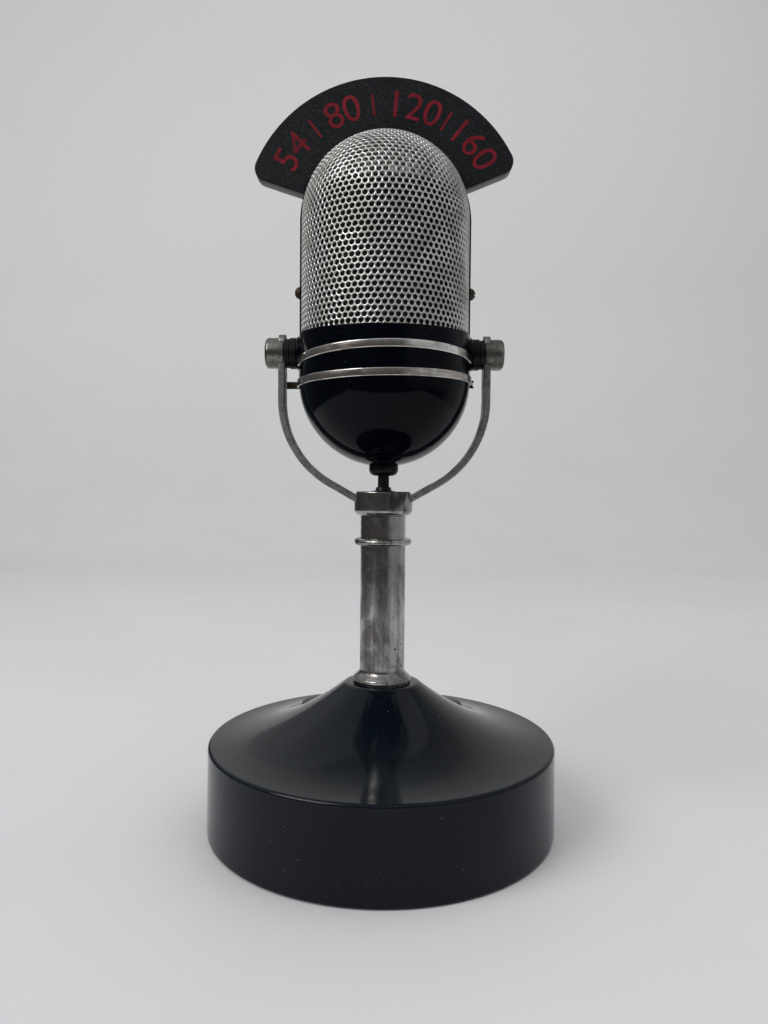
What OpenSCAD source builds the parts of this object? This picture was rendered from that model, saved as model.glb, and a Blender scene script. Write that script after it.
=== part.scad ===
// Table radio in the shape of a studio microphone on a stand.
// The base holds the batteries, the receiver and the controls, the head holds the loudspeaker.
// Millimetres. The origin is on the table, under the middle of the base. The front faces -Y.

/* [Base] */
// Diameter of the base at the table
base_d = 135; // [130:1:145]
// Height of the rim, where the wall turns into the cone
rim_h = 33.4; // [32:0.2:36]
// Height of the neck, where the stem stands
neck_h = 57; // [55:0.5:61]
// Diameter of the neck's top
neck_d = 24.6; // [24:0.2:28]
// How hollow the cone is: 1 is straight, more is more hollow
cone_curve = 1.9; // [1.7:0.05:2]
// Wall of the base shell
wall = 2.4; // [2:0.1:2.8]
// Radius of the rim's rounded edge
rim_round = 1.2; // [0.6:0.1:2]
// Gap between the base shell and the table
skirt_gap = 0.6; // [0.4:0.1:1.2]

/* [Bottom plate and feet] */
// Thickness of the bottom plate
plate_t = 2.4; // [2:0.1:3]
// How far the bottom plate is set up into the base shell
plate_set = 1; // [0.8:0.1:1.5]
// Diameter of a rubber foot
foot_d = 10; // [8:0.5:12]
// How deep a foot sits in the plate
foot_seat = 0.8; // [0.5:0.1:1.2]
// Shank diameter of the self-tapping screws
tap_d = 2.6; // [2.2:0.1:3]
// Head diameter of the self-tapping screws
tap_head_d = 5.4; // [4.6:0.1:6]

/* [Batteries] */
// Diameter of a cell
cell_d = 14.2; // [14:0.1:14.5]
// Length of a cell with its button
cell_len = 50; // [49.5:0.1:50.5]
// Room that a contact spring fills
spring_len = 6; // [5:0.1:7]
// Thickness of a contact plate
contact_t = 0.5; // [0.4:0.1:0.8]
// Wall of the battery bay
bay_wall = 1.5; // [1.2:0.1:2]
// Thickness of the battery door
door_t = 2; // [1.6:0.1:2.3]

/* [Receiver board] */
// Height of the board's underside
board_z = 22; // [21.6:0.1:22.6]
// Thickness of the board
board_t = 1.6; // [1.2:0.1:2]
// Gap between the board and the base's wall
board_gap = 14.1; // [13.5:0.1:17]
// Length of the aerial's ferrite rod
rod_len = 56; // [46:1:58]
// Diameter of the ferrite rod
rod_d = 8; // [7:0.5:8]

/* [Thumbwheels] */
// Diameter of the two thumbwheels
wheel_d = 20; // [18:0.5:21]
// Thickness of the thumbwheels
wheel_t = 3; // [2.4:0.1:3.4]
// Height of the thumbwheels' middle
wheel_z = 40; // [39.6:0.1:41]
// How far a wheel's rim stands out of the cone
wheel_show = 0.5; // [0.3:0.1:1.5]
// Direction of each wheel from the back of the base
wheel_angle = 52; // [46:1:58]
// Diameter of a control's shaft
shaft_d = 6; // [5:0.5:6.5]

/* [Stem] */
// Outer diameter of the stem
stem_d = 17.6; // [16.5:0.1:18.5]
// Wall of the stem's tube
stem_wall = 1.2; // [1:0.1:1.6]
// Length of the stem between the neck and the collar
stem_len = 63.8; // [58:0.2:72]
// Diameter of the stem's flared foot
flare_d = 22.8; // [21:0.1:23.4]
// Distance of the bead ring's middle below the collar
bead_drop = 10.3; // [8:0.1:14]
// Diameter of the bead ring
bead_d = 22.5; // [21:0.1:24]
// Height of the bead ring
bead_h = 2.6; // [2:0.1:3.2]
// Diameter of the collar
collar_d = 22.7; // [22:0.1:24]
// Height of the collar
collar_h = 9.2; // [8.8:0.1:10]
// Thickness of the collar's floor
collar_floor = 3.8; // [3.2:0.1:4]
// Diameter of the threaded rod inside the stem
tie_d = 10; // [9:0.2:10]
// Bore of the threaded rod
tie_bore = 6.4; // [6:0.1:7]

/* [Yoke] */
// Gap between the head and the yoke's strap on each side
yoke_gap = 5.4; // [5:0.1:7]
// Thickness of the yoke's strap
strap_t = 2.2; // [1.8:0.1:2.4]
// Depth of the yoke's strap from front to back
strap_w = 8; // [7:0.2:9]
// Distance of the bends' centres from the middle
bend_x = 2.6; // [2:0.1:5]
// Height of the bends' centres below the pivots
bend_drop = 18.2; // [17:0.1:20]

/* [Pivots] */
// Diameter of the pivot screws
pivot_d = 4; // [3.5:0.1:4.5]
// Diameter of the caps and the bushes
cap_d = 11.8; // [11:0.1:12.6]
// Length of a cap
cap_len = 7.2; // [6.6:0.1:8]
// Thickness of the washers
washer_t = 1.7; // [1.4:0.1:1.8]
// Height of the flat pads on the head, beyond its wall
pad_up = 1.1; // [0.9:0.1:1.3]

/* [Head] */
// Diameter of the head
head_d = 66.4; // [65:0.2:67]
// Wall of the two head shells
shell_wall = 2; // [1.8:0.1:2.4]
// Distance of the lower round end's centre below the pivots
head_low = 10.5; // [9.5:0.1:11.5]
// Distance of the dome's centre above the pivots
head_high = 51.1; // [49:0.1:55]
// Height of the grille's lower edge above the pivot pads, at the sides
rim_gap = 0.3; // [0.2:0.1:1.5]
// How far that edge drops towards the front, in degrees
rim_tilt = 2.4; // [0:0.2:3]
// How far the grille lies inside the head's outline
grille_in = 0.8; // [0.7:0.05:1]
// Thickness of the grille's sheet
sheet_t = 0.8; // [0.6:0.05:0.9]
// Diameter of the cable
cable_d = 4.4; // [4:0.1:4.6]
// Gap between the head's grommet and the top of the collar
cable_show = 6.2; // [5.2:0.1:7.4]
// How far that grommet stands out below the head
grommet_out = 3.6; // [3:0.1:4]

/* [Bands] */
// Height of a trim band
band_h = 3; // [2.4:0.1:3.4]
// How far a band stands out from the shell
band_t = 0.7; // [0.4:0.1:0.9]
// Distance of the upper band's middle below the pivots
upper_band_drop = 4.1; // [3.8:0.1:4.6]
// Distance of the lower band's middle below the pivots
lower_band_drop = 11.4; // [10.6:0.1:12]
// How steeply the upper band climbs towards the front, in degrees
band_tilt = 4.5; // [0:0.5:5]
// How far the bands are turned on the head, their left ends down, in degrees
band_turn = 1.3; // [0:0.1:2]

/* [Loudspeaker] */
// Diameter of the loudspeaker
speaker_d = 50; // [46:1:51]
// Height of the loudspeaker's centre above the pivots
speaker_up = 31; // [30:0.5:33]
// Travel of the cone each way
cone_travel = 0.7; // [0.4:0.1:0.8]

/* [Sign] */
// Outer radius of the sign around the dome's centre
sign_r = 55; // [50:0.5:58]
// Half of the angle that the sign spans
sign_half = 70; // [62:1:74]
// Thickness of the sign with its face
sign_t = 7.2; // [6.4:0.1:8]
// Thickness of the sign's face
face_t = 1.2; // [1:0.1:1.6]
// Radius of the sign's upper corners
sign_round = 5; // [3:0.5:6]
// How far the sign is turned on the dome, its left end down, in degrees
sign_turn = 2.2; // [0:0.1:3]

/* [Hidden] */
$fn = 96;
// Gap between pieces that are screwed or laid together
fit = 0.3;
// Radial gap of a turning shaft, a screw or a cable in its hole
slip = 0.05;
// Overshoot of a cutting shape
cut = 1;

// Base
base_r = base_d / 2;
top_r = base_r - 0.3;
neck_r = neck_d / 2;
inner_r = base_r - wall;
roof_t = wall * 1.1;
cone_steps = 18;
function cone_z(r) = rim_h + (neck_h - rim_h) * pow((top_r - r) / (top_r - neck_r), cone_curve);
function cone_r(z) = top_r - (top_r - neck_r) * pow((z - rim_h) / (neck_h - rim_h), 1 / cone_curve);
plate_z = skirt_gap + plate_set;
plate_top = plate_z + plate_t;
plate_r = inner_r - fit;
foot_h = plate_z + foot_seat;
foot_ring = inner_r - foot_d / 2 - 3.1;
foot_angles = [40, 140, 227, 313];
post_r = tap_d / 2 + 2.5;
post_ring = inner_r - post_r - 5.2;
post_angles = [65, 115, 210, 330];
tap_bite = 7;
tap_head_h = 1.6;

// Battery bay, with its middle ahead of the stem's axis
cell_count = 3;
bay_x = cell_len + spring_len + 2 * contact_t + fit;
cell_pitch = cell_d + 0.4;
bay_y = cell_count * cell_pitch + fit;
bay_back = -7.8;
bay_front = bay_back - bay_y;
door_top = plate_z + door_t;
cell_z = door_top + fit + cell_d / 2;
bay_roof = cell_z + cell_d / 2 + fit;
bay_top = bay_roof + bay_wall;
tongue_x = 18;
tongue_w = 6;
tongue_l = 3;
tongue_t = 1;
tongue_gap = 0.4;
tongue_swing = 6;
ledge_t = door_top - tongue_t - fit - plate_z;

// Receiver
board_r = inner_r - board_gap;
board_d = 2 * board_r;
board_top = board_z + board_t;
board_front = -18;
board_posts = [[board_r - 7, 3], [7 - board_r, 3], [0, board_r - 5.4]];
wheel_r = wheel_d / 2;
wheel_ring = cone_r(wheel_z) + wheel_show - wheel_r;
wheel_x = wheel_ring * sin(wheel_angle);
wheel_y = wheel_ring * cos(wheel_angle);
wheel_ribs = 36;
rib_h = 0.5;
slot_gap = 0.6;
shaft_r = shaft_d / 2;
shaft_sink = 4;
gang_w = 16;
gang_h = 9.4;
pot_d = 16;
pot_h = 6.4;
rod_y = board_r - 14;
rod_z = board_top + rod_d / 2 + 1.4;
coil_len = 28;
coil_wall = 1.2;
clip_x = rod_len / 2 - 5;
can_w = 7.2;
can_h = 9;
can_pitch = 10;
can_y = rod_y - 13.6;
drum_d = 6.3;
drum_h = 10;
socket_h = 6;

// Stem
stem_r = stem_d / 2;
tie_r = tie_d / 2;
collar_z = neck_h + stem_len;
collar_r = collar_d / 2;
collar_top = collar_z + collar_h;
foot_z = collar_z + collar_floor;
collar_wall = 1.9;
collar_round = 2.2;
bead_z = collar_z - bead_drop;
flare_h = 2.6;
nut_r = 6.9;
nut_h = 2.6;
tie_washer_t = 1.4;
tie_washer_r = 9;
neck_floor = neck_h - roof_t;
tie_low = neck_floor - tie_washer_t - nut_h - 2;
tie_top = foot_z + strap_t + nut_h;
grommet_up = 2.4;
cable_r = cable_d / 2;

// Yoke
grommet_z = collar_top + cable_show;
pivot_z = grommet_z + grommet_out + head_d / 2 + head_low;
yoke_in = head_d / 2 + yoke_gap;
yoke_r = yoke_in + strap_t;
yoke_w = 2 * yoke_r;
yoke_rise = pivot_z - foot_z;
bend_r = yoke_r - bend_x;
bend_z = pivot_z - bend_drop;
foot_half = 8.2;
ear_up = 7.2;
foot_dist = norm([foot_half - bend_x, bend_z - foot_z]);
slope = atan2(bend_z - foot_z, bend_x - foot_half) - asin(bend_r / foot_dist);
bend_steps = 20;
arc_steps = 28;

// Pivots
cap_r = cap_d / 2;
pivot_r = pivot_d / 2;
cap_start = yoke_in + fit;
spigot_r = pivot_r + 1.6;
pad_r = cap_r + 0.7;
pad_face = head_d / 2 + pad_up;
bush_end = yoke_in - washer_t - fit;
screw_head_h = 2;
screw_head_r = 3.6;
screw_start = head_d / 2 - shell_wall - 0.5 - fit - screw_head_h;
screw_end = cap_start + cap_len - 2.2;

// Head
head_r = head_d / 2;
low_z = pivot_z - head_low;
high_z = pivot_z + head_high;
head_in = head_r - shell_wall;
rim_z = pivot_z + pad_r + rim_gap;
grille_r = head_r - grille_in;
grille_low = pivot_z + spigot_r + 0.4;
grille_back = 1.2;
rebate_gap = 0.15;
cloth_t = 0.5;
cloth_r = grille_r - sheet_t - 0.1;
lug_r = grille_r - sheet_t - fit;
vents = 5;
head_screw_x = 14;
head_screw_z = low_z - 14;
head_screw_seat = 21;
grommet_r = 5.65;
grommet_neck = 3.9;
shell_low = low_z - head_r;
side_screw_z = pivot_z + 24;
side_screw_turn = 4.7;
side_head_r = 2.4;
side_head_h = 2.3;
ear_half = 5;
ear_back = 6;
tab_z = low_z - 3.2;
tab_h = 2.7;
tab_t = 0.8;
tab_out = 4.9;
tab_in = 1.6;

// Loudspeaker, with its front on the baffle's back
speaker_r = speaker_d / 2;
speaker_z = pivot_z + speaker_up;
baffle_y = -6;
baffle_t = 2;
spk_y = baffle_y + baffle_t;
rim_t = 1.2;
basket_deep = 9;
magnet_deep = 6;
magnet_r = 13;
coil_r = 6.6;
coil_wall_r = coil_r + 0.4;
cone_r = speaker_r - 5.6;
cone_front = cone_travel + 0.1;
cone_deep = 6;
paper_t = 0.5;
rim_w = 2.6;
coil_low = basket_deep + 1 + magnet_deep - 2 - cone_travel;

// Sign
sign_in = head_r + 0.3;
sign_y = -0.4;
sign_wall = 1.5;
sign_mid = sign_y + sign_t / 2;
peg_angles = [-35 - sign_turn, 35 - sign_turn];
peg_r = 1.6;
lamp_angles = [for (a = [-52:26:52]) a - sign_turn];
lamp_ring = (sign_in + sign_r) / 2;
strip_w = 6;
strip_t = 1;
strip_y = sign_y + sign_t - sign_wall;
lamp_h = 2.6;

// Leads
lead_r = 0.6;
lead_sides = 8;
lead_x = bay_x / 2 - contact_t - 0.25;
cable_end = shell_low + 11;

function arc(cx, cz, r, a0, a1, n) = [for (i = [0:n]) let (a = a0 + (a1 - a0) * i / n)
    [cx + r * cos(a), cz + r * sin(a)]];

// Half outline of the base, moved in by `side` and down by `drop`
function base_outline(side, drop, floor_z) = concat(
    [[0, floor_z], [base_r - side, floor_z]],
    arc(top_r - rim_round - side, rim_h - rim_round - drop, rim_round, 0, 80, 6),
    [for (i = [1:cone_steps]) let (r = top_r - rim_round + (neck_r - top_r + rim_round) * i / cone_steps)
        [r, cone_z(r) - drop]],
    [[0, neck_h - drop]]);

// Outline of the sign from the front, x across and y up from the dome's centre
function sign_outline(r_in, r_out, half, r_c) = let (
    f = half - asin(r_c / (r_out - r_c)),
    right = [for (i = [0:6]) let (a = f + (half + 90 - f) * i / 6)
        [(r_out - r_c) * sin(f) + r_c * sin(a), (r_out - r_c) * cos(f) + r_c * cos(a)]],
    left = [for (i = [0:6]) [-right[6 - i][0], right[6 - i][1]]])
    concat(arc(0, 0, r_out, 90 + f, 90 - f, arc_steps), right,
        arc(0, 0, r_in, 90 - half, 90 + half, arc_steps), left);

module revolve(points) {
    rotate_extrude() polygon(points);
}

module ring(r_out, r_in, h) {
    difference() {
        cylinder(r = r_out, h = h);
        translate([0, 0, -cut]) cylinder(r = r_in, h = h + 2 * cut);
    }
}

// Turns +Z to +X, on the side s
module along_x(s) {
    rotate([0, s * 90, 0]) children();
}

// Turns +Z to -Y
module forward() {
    rotate([90, 0, 0]) children();
}

module at_angles(r, angles) {
    for (a = angles) rotate([0, 0, a]) translate([r, 0, 0]) children();
}

module pill(r) {
    translate([0, 0, low_z]) sphere(r = r);
    translate([0, 0, low_z]) cylinder(r = r, h = high_z - low_z);
    translate([0, 0, high_z]) sphere(r = r);
}

// A wire swept along points that lie nearly in one plane across X, closed at both ends
module lead(points) {
    n = len(points);
    m = lead_sides;
    function dir(i) = let (d = points[min(i + 1, n - 1)] - points[max(i - 1, 0)]) d / norm(d);
    function side(i) = let (d = cross(dir(i), [1, 0, 0])) d / norm(d);
    rings = [for (i = [0:n - 1]) let (u = side(i), v = cross(dir(i), u))
        for (k = [0:m - 1]) points[i] + lead_r * (u * cos(360 / m * k) + v * sin(360 / m * k))];
    walls = [for (i = [0:n - 2]) for (k = [0:m - 1]) let (a = m * i + k, b = m * i + (k + 1) % m)
        each [[a, b + m, b], [a, a + m, b + m]]];
    last = m * (n - 1);
    ends = [for (k = [1:m - 2]) each [[0, k, k + 1], [last, last + k + 1, last + k]]];
    polyhedron(rings, concat(walls, ends));
}

// Self-tapping screw with a flat head. The head's seat is at z = 0 and the shank points up.
module tap_screw(grip, head_r = tap_head_d / 2) {
    translate([0, 0, -tap_head_h]) cylinder(r = head_r, h = tap_head_h);
    cylinder(r = tap_d / 2 - slip, h = grip + tap_bite);
}

// Places of the thumbwheels: tuning on the right, volume on the left
module at_wheel(s) {
    translate([s * wheel_x, wheel_y, 0]) children();
}

module base_shell() {
    color("#101113") difference() {
        union() {
            difference() {
                revolve(base_outline(0, 0, skirt_gap));
                revolve(base_outline(wall, roof_t, skirt_gap - cut));
            }
            intersection() {
                revolve(base_outline(wall / 2, roof_t / 2, skirt_gap));
                union() {
                    translate([0, 0, plate_top])
                        at_angles(post_ring, post_angles) cylinder(r = post_r, h = neck_h);
                    for (p = board_posts) translate([p[0], p[1], board_top])
                        cylinder(r = post_r - 0.4, h = neck_h);
                }
            }
        }
        translate([0, 0, neck_floor - cut]) cylinder(r = tie_r + slip, h = roof_t + 2 * cut);
        translate([0, 0, plate_top - cut])
            at_angles(post_ring, post_angles) cylinder(r = tap_d / 2, h = tap_bite + 2 * cut);
        for (p = board_posts) translate([p[0], p[1], board_top - cut])
            cylinder(r = tap_d / 2, h = tap_bite + 2 * cut);
        for (s = [-1, 1]) at_wheel(s) translate([0, 0, wheel_z - wheel_t / 2 - slot_gap])
            cylinder(r = wheel_r + slot_gap, h = wheel_t + 2 * slot_gap);
    }
}

// Disc with the walls and the roof of the battery bay in one moulding
module bottom_plate() {
    color("#17181a") difference() {
        union() {
            translate([0, 0, plate_z]) cylinder(r = plate_r, h = plate_t);
            translate([-bay_x / 2 - bay_wall, bay_front - bay_wall, plate_z])
                cube([bay_x + 2 * bay_wall, bay_y + 2 * bay_wall, bay_top - plate_z]);
        }
        translate([-bay_x / 2, bay_front, plate_z - cut])
            cube([bay_x, bay_y, bay_roof - plate_z + cut]);
        for (s = [-1, 1]) translate([s * tongue_x, bay_front - tongue_l - 2 * fit, plate_z + ledge_t])
            translate([-tongue_w / 2 - tongue_gap, 0, 0])
            cube([tongue_w + 2 * tongue_gap, tongue_l + 2 * fit + cut, tongue_swing]);
        translate([0, 0, plate_z - cut]) at_angles(post_ring, post_angles) {
            cylinder(r = tap_d / 2 + 0.2, h = plate_t + 2 * cut);
            cylinder(r = tap_head_d / 2 + 0.2, h = cut + tap_head_h);
        }
        translate([0, 0, plate_z - cut])
            at_angles(foot_ring, foot_angles) cylinder(r = foot_d / 2 + slip, h = cut + foot_seat);
        for (p = [[-lead_x, cell_y(0)], [lead_x, cell_y(2)]]) translate([p[0], p[1], bay_roof - cut])
            cylinder(r = lead_r + slip, h = bay_wall + 2 * cut);
    }
}

// Door with two tongues at the front edge and a finger notch at the back edge
module battery_door() {
    color("#17181a") difference() {
        union() {
            translate([-bay_x / 2 + fit, bay_front + fit, plate_z])
                cube([bay_x - 2 * fit, bay_y - 2 * fit, door_t]);
            for (s = [-1, 1])
                translate([s * tongue_x - tongue_w / 2, bay_front + fit - tongue_l, door_top - tongue_t])
                cube([tongue_w, tongue_l + cut, tongue_t]);
        }
        translate([0, bay_back - fit, plate_z - cut]) cylinder(r = 6, h = cut + door_t / 2);
    }
}

module rubber_feet() {
    color("#26272a") at_angles(foot_ring, foot_angles) cylinder(r = foot_d / 2, h = foot_h);
}

// Four screws hold the bottom plate and three hold the board
module base_screws() {
    grip = plate_t - tap_head_h;
    color("silver") {
        translate([0, 0, plate_z + tap_head_h]) at_angles(post_ring, post_angles) tap_screw(grip);
        for (p = board_posts) translate([p[0], p[1], board_z]) tap_screw(board_t);
    }
}

// A cell along +X from its flat end at x = 0
module cell() {
    button = 1;
    along_x(1) cylinder(r = cell_d / 2, h = cell_len - button);
    translate([cell_len - button, 0, 0]) along_x(1) cylinder(r = 2.7, h = button);
}

function cell_y(i) = bay_front + fit / 2 + cell_pitch * (i + 0.5);

// Where cell i lies, turned end for end from its neighbour
module at_cell(i) {
    translate([0, cell_y(i), cell_z]) rotate([0, 0, 180 * (i % 2)]) children();
}

module battery_cells() {
    color("goldenrod") for (i = [0:cell_count - 1]) at_cell(i)
        translate([-bay_x / 2 + contact_t + spring_len + fit / 2, 0, 0]) cell();
}

// Plates that join the cells in a row, and a tapering spring at each flat end
module battery_contacts() {
    plate = cell_d - 2;
    color("silver") {
        for (c = [[1, 0, 1], [1, 2, 2], [-1, 0, 0], [-1, 1, 2]])
            translate([c[0] * (bay_x - contact_t) / 2 - contact_t / 2, cell_y(c[1]) - plate / 2,
                cell_z - plate / 2])
            cube([contact_t, cell_y(c[2]) - cell_y(c[1]) + plate, plate]);
        for (i = [0:cell_count - 1]) at_cell(i) translate([-bay_x / 2 + contact_t, 0, 0]) along_x(1)
            difference() {
                cylinder(r1 = 5.4, r2 = 3.4, h = spring_len);
                translate([0, 0, -cut]) cylinder(r = 2.6, h = spring_len + 2 * cut);
            }
    }
}

// Two wires from the end plates, through the bay's roof, up to the board
module battery_leads() {
    low = cell_z + cell_d / 2 - 1;
    run = (bay_top + board_z) / 2;
    color("firebrick") {
        lead([[lead_x, cell_y(2), low], [lead_x, cell_y(2), board_z]]);
        lead([[-lead_x, cell_y(0), low], [-lead_x, cell_y(0), run - 1.2],
            [-lead_x, cell_y(0) + 0.4, run - 0.4], [-lead_x, cell_y(0) + 1.2, run],
            [-lead_x, cell_y(2) - 1, run], [-lead_x, cell_y(2) - 0.3, run + 0.1],
            [-lead_x, cell_y(2), run + 0.5], [-lead_x, cell_y(2), board_z]]);
    }
}

module circuit_board() {
    color("#2f6b3a") difference() {
        translate([0, 0, board_z]) cylinder(r = board_r, h = board_t);
        translate([-board_r - cut, -board_r - cut, board_z - cut])
            cube([board_d + 2 * cut, board_r + cut + board_front, board_t + 2 * cut]);
        for (p = board_posts) translate([p[0], p[1], board_z - cut])
            cylinder(r = tap_d / 2 + 0.2, h = board_t + 2 * cut);
    }
}

// Variable capacitor behind the tuning wheel, with the bore that its shaft turns in
module tuning_gang() {
    color("whitesmoke") at_wheel(1) difference() {
        translate([-gang_w / 2, -gang_w / 2, board_top]) cube([gang_w, gang_w, gang_h]);
        translate([0, 0, board_top + gang_h - shaft_sink])
            cylinder(r = shaft_r + slip, h = shaft_sink + cut);
    }
}

module volume_control() {
    color("#4a4d52") at_wheel(-1) translate([0, 0, board_top]) difference() {
        cylinder(d = pot_d, h = pot_h);
        translate([0, 0, pot_h - shaft_sink]) cylinder(r = shaft_r + slip, h = shaft_sink + cut);
    }
}

// Shaft from its bearing up through the wheel, with a collar that the wheel stands on
module control_shaft(bearing_top) {
    low = bearing_top - shaft_sink + fit;
    translate([0, 0, low]) cylinder(r = shaft_r, h = wheel_z + wheel_t / 2 - low);
    translate([0, 0, wheel_z - wheel_t / 2 - 1.6]) cylinder(r = shaft_r + 1.5, h = 1.6);
}

module tuning_shaft() {
    color("gainsboro") at_wheel(1) control_shaft(board_top + gang_h);
}

module volume_shaft() {
    color("gainsboro") at_wheel(-1) control_shaft(board_top + pot_h);
}

module thumbwheel() {
    color("#1d1e20") translate([0, 0, wheel_z - wheel_t / 2]) linear_extrude(wheel_t) difference() {
        union() {
            circle(r = wheel_r - rib_h);
            for (i = [0:wheel_ribs - 1]) rotate([0, 0, 360 / wheel_ribs * i])
                translate([wheel_r - 2, -rib_h]) square([2, 2 * rib_h]);
        }
        circle(r = shaft_r + slip);
    }
}

module tuning_wheel() {
    at_wheel(1) thumbwheel();
}

module volume_wheel() {
    at_wheel(-1) thumbwheel();
}

module ferrite_rod() {
    color("#3a3a3c") translate([-rod_len / 2, rod_y, rod_z]) along_x(1) cylinder(d = rod_d, h = rod_len);
}

module aerial_coil() {
    color("#b5651d") translate([-coil_len / 2, rod_y, rod_z]) along_x(1)
        ring(rod_d / 2 + coil_wall, rod_d / 2 + slip, coil_len);
}

module rod_clips() {
    clip_w = 4;
    depth = rod_d + 3;
    color("#1c1c1e") for (s = [-1, 1]) translate([s * clip_x, rod_y, 0]) difference() {
        translate([-clip_w / 2, -depth / 2, board_top]) cube([clip_w, depth, rod_z - board_top + 1.5]);
        translate([-clip_w, 0, rod_z]) along_x(1) cylinder(r = rod_d / 2 + slip, h = 2 * clip_w);
    }
}

// Three screened coils in a row
module tuned_coils() {
    color("silver") for (i = [-1:1])
        translate([i * can_pitch - can_w / 2, can_y, board_top]) cube([can_w, can_w, can_h]);
}

module capacitors() {
    color("#23408a") for (p = [[-30, 0.6], [-20, 0.6], [24, 2], [34, 6]])
        translate([p[0], p[1], board_top]) cylinder(d = drum_d, h = drum_h);
}

module amplifier_chip() {
    color("#1a1a1c") translate([-9.5, 9, board_top]) cube([19, 6.4, 3.4]);
}

module cable_socket() {
    color("ivory") translate([-5, -4, board_top]) cube([10, 8, socket_h]);
}

module stem_washer() {
    color("silver") translate([0, 0, neck_floor - tie_washer_t])
        ring(tie_washer_r, tie_r + slip, tie_washer_t);
}

// The same nut under the base's roof and on the yoke's foot
module tie_nuts() {
    color("silver") for (z = [neck_floor - tie_washer_t - nut_h, foot_z + strap_t])
        translate([0, 0, z]) difference() {
            cylinder(r = nut_r, h = nut_h, $fn = 6);
            translate([0, 0, -cut]) cylinder(r = tie_r + slip, h = nut_h + 2 * cut);
        }
}

// Hollow threaded rod that pulls the yoke, the collar, the stem and the base together
module tie_rod() {
    color("silver") translate([0, 0, tie_low]) ring(tie_r, tie_bore / 2, tie_top - tie_low);
}

module stem_tube() {
    h = stem_len;
    color("silver") translate([0, 0, neck_h]) revolve(concat(
        [[stem_r - stem_wall, 0], [flare_d / 2 - 0.4, 0], [flare_d / 2, 0.4], [flare_d / 2, 0.9]],
        [for (i = [1:8]) let (a = 90 * i / 8)
            [flare_d / 2 - (flare_d / 2 - stem_r) * sin(a), 0.9 + (flare_h - 0.9) * (1 - cos(a))]],
        [[stem_r, h], [stem_r - stem_wall, h]]));
}

module bead_ring() {
    r = bead_h / 2;
    mid = bead_d / 2 - r;
    color("silver") translate([0, 0, bead_z]) revolve(concat(
        [[stem_r + slip, -r]], arc(mid, 0, r, -90, 90, 12), [[stem_r + slip, r]]));
}

// Outline of the yoke from the front: its right half, then the same half mirrored
yoke_half = concat([[foot_half, foot_z]],
    arc(bend_x, bend_z, bend_r, slope - 90, 0, bend_steps),
    [[yoke_r, pivot_z + ear_up], [yoke_in, pivot_z + ear_up]],
    arc(bend_x, bend_z, bend_r - strap_t, 0, slope - 90, bend_steps),
    [[foot_half - strap_t * tan(slope / 2), foot_z + strap_t]]);
yoke_outline = concat(yoke_half, [for (i = [len(yoke_half) - 1:-1:0]) [-yoke_half[i][0], yoke_half[i][1]]]);

module yoke() {
    color("lightgray") difference() {
        intersection() {
            translate([0, strap_w / 2, 0]) forward() linear_extrude(strap_w) polygon(yoke_outline);
            union() {
                translate([-yoke_w, -strap_w, foot_z - cut])
                    cube([2 * yoke_w, 2 * strap_w, yoke_rise + ear_up - strap_w / 2 + cut]);
                translate([-yoke_w, 0, pivot_z + ear_up - strap_w / 2]) along_x(1)
                    cylinder(r = strap_w / 2, h = 2 * yoke_w);
            }
        }
        translate([0, 0, foot_z - cut]) cylinder(r = tie_r + slip, h = strap_t + 2 * cut);
        translate([-yoke_w, 0, pivot_z]) along_x(1) cylinder(r = pivot_r + slip, h = 2 * yoke_w);
    }
}

// Cup at the stem's top, slotted on both sides for the yoke
module collar() {
    cup_r = collar_r - collar_wall;
    color("lightgray") difference() {
        translate([0, 0, collar_z]) revolve(concat(
            [[tie_r + slip, 0]], arc(collar_r - collar_round, collar_round, collar_round, -90, 0, 6),
            [[collar_r, collar_h - 0.4], [collar_r - 0.4, collar_h], [cup_r, collar_h],
            [cup_r, collar_floor], [tie_r + slip, collar_floor]]));
        translate([-collar_d, -strap_w / 2 - fit, foot_z])
            cube([2 * collar_d, strap_w + 2 * fit, collar_h]);
    }
}

module stem_grommet() {
    inner = cable_r + slip;
    color("#141416") translate([0, 0, tie_top]) revolve([
        [inner, -6], [tie_bore / 2 - slip, -6], [tie_bore / 2 - slip, 0], [tie_r - 0.4, 0],
        [tie_r - 0.4, 0.8], [inner + 1, 1], [inner + 0.5, grommet_up], [inner, grommet_up]]);
}

// The cable is straight all the way: through the stem, over the gap and into the head
module cable(z0, z1) {
    color("#0c0c0d") translate([0, 0, z0]) cylinder(r = cable_r, h = z1 - z0);
}

module stem_cable() {
    cable(board_top + socket_h, tie_top + grommet_up);
}

module joint_cable() {
    cable(tie_top + grommet_up, grommet_z);
}

module head_cable() {
    cable(grommet_z, cable_end);
}

// Caps outside the yoke, slotted over the strap
module pivot_caps() {
    chamfer = 0.9;
    color("silver") for (s = [-1, 1]) translate([0, 0, pivot_z]) along_x(s) difference() {
        translate([0, 0, cap_start]) revolve([[0, 0], [cap_r, 0], [cap_r, cap_len - chamfer],
            [cap_r - chamfer, cap_len], [0, cap_len]]);
        translate([-cap_d, -strap_w / 2 - slip, cap_start - cut])
            cube([2 * cap_d, strap_w + 2 * slip, yoke_r - cap_start + cut]);
        translate([0, 0, cap_start - cut])
            cylinder(r = pivot_r + slip, h = screw_end - cap_start + cut + fit);
    }
}

module pivot_screws() {
    color("silver") for (s = [-1, 1]) translate([0, 0, pivot_z]) along_x(s) {
        translate([0, 0, screw_start]) cylinder(r = screw_head_r, h = screw_head_h);
        translate([0, 0, screw_start]) cylinder(r = pivot_r, h = screw_end - screw_start);
    }
}

module pivot_washers() {
    color("#141416") for (s = [-1, 1]) translate([0, 0, pivot_z]) along_x(s)
        translate([0, 0, yoke_in - washer_t]) ring(cap_r - 0.3, pivot_r + slip, washer_t);
}

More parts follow.
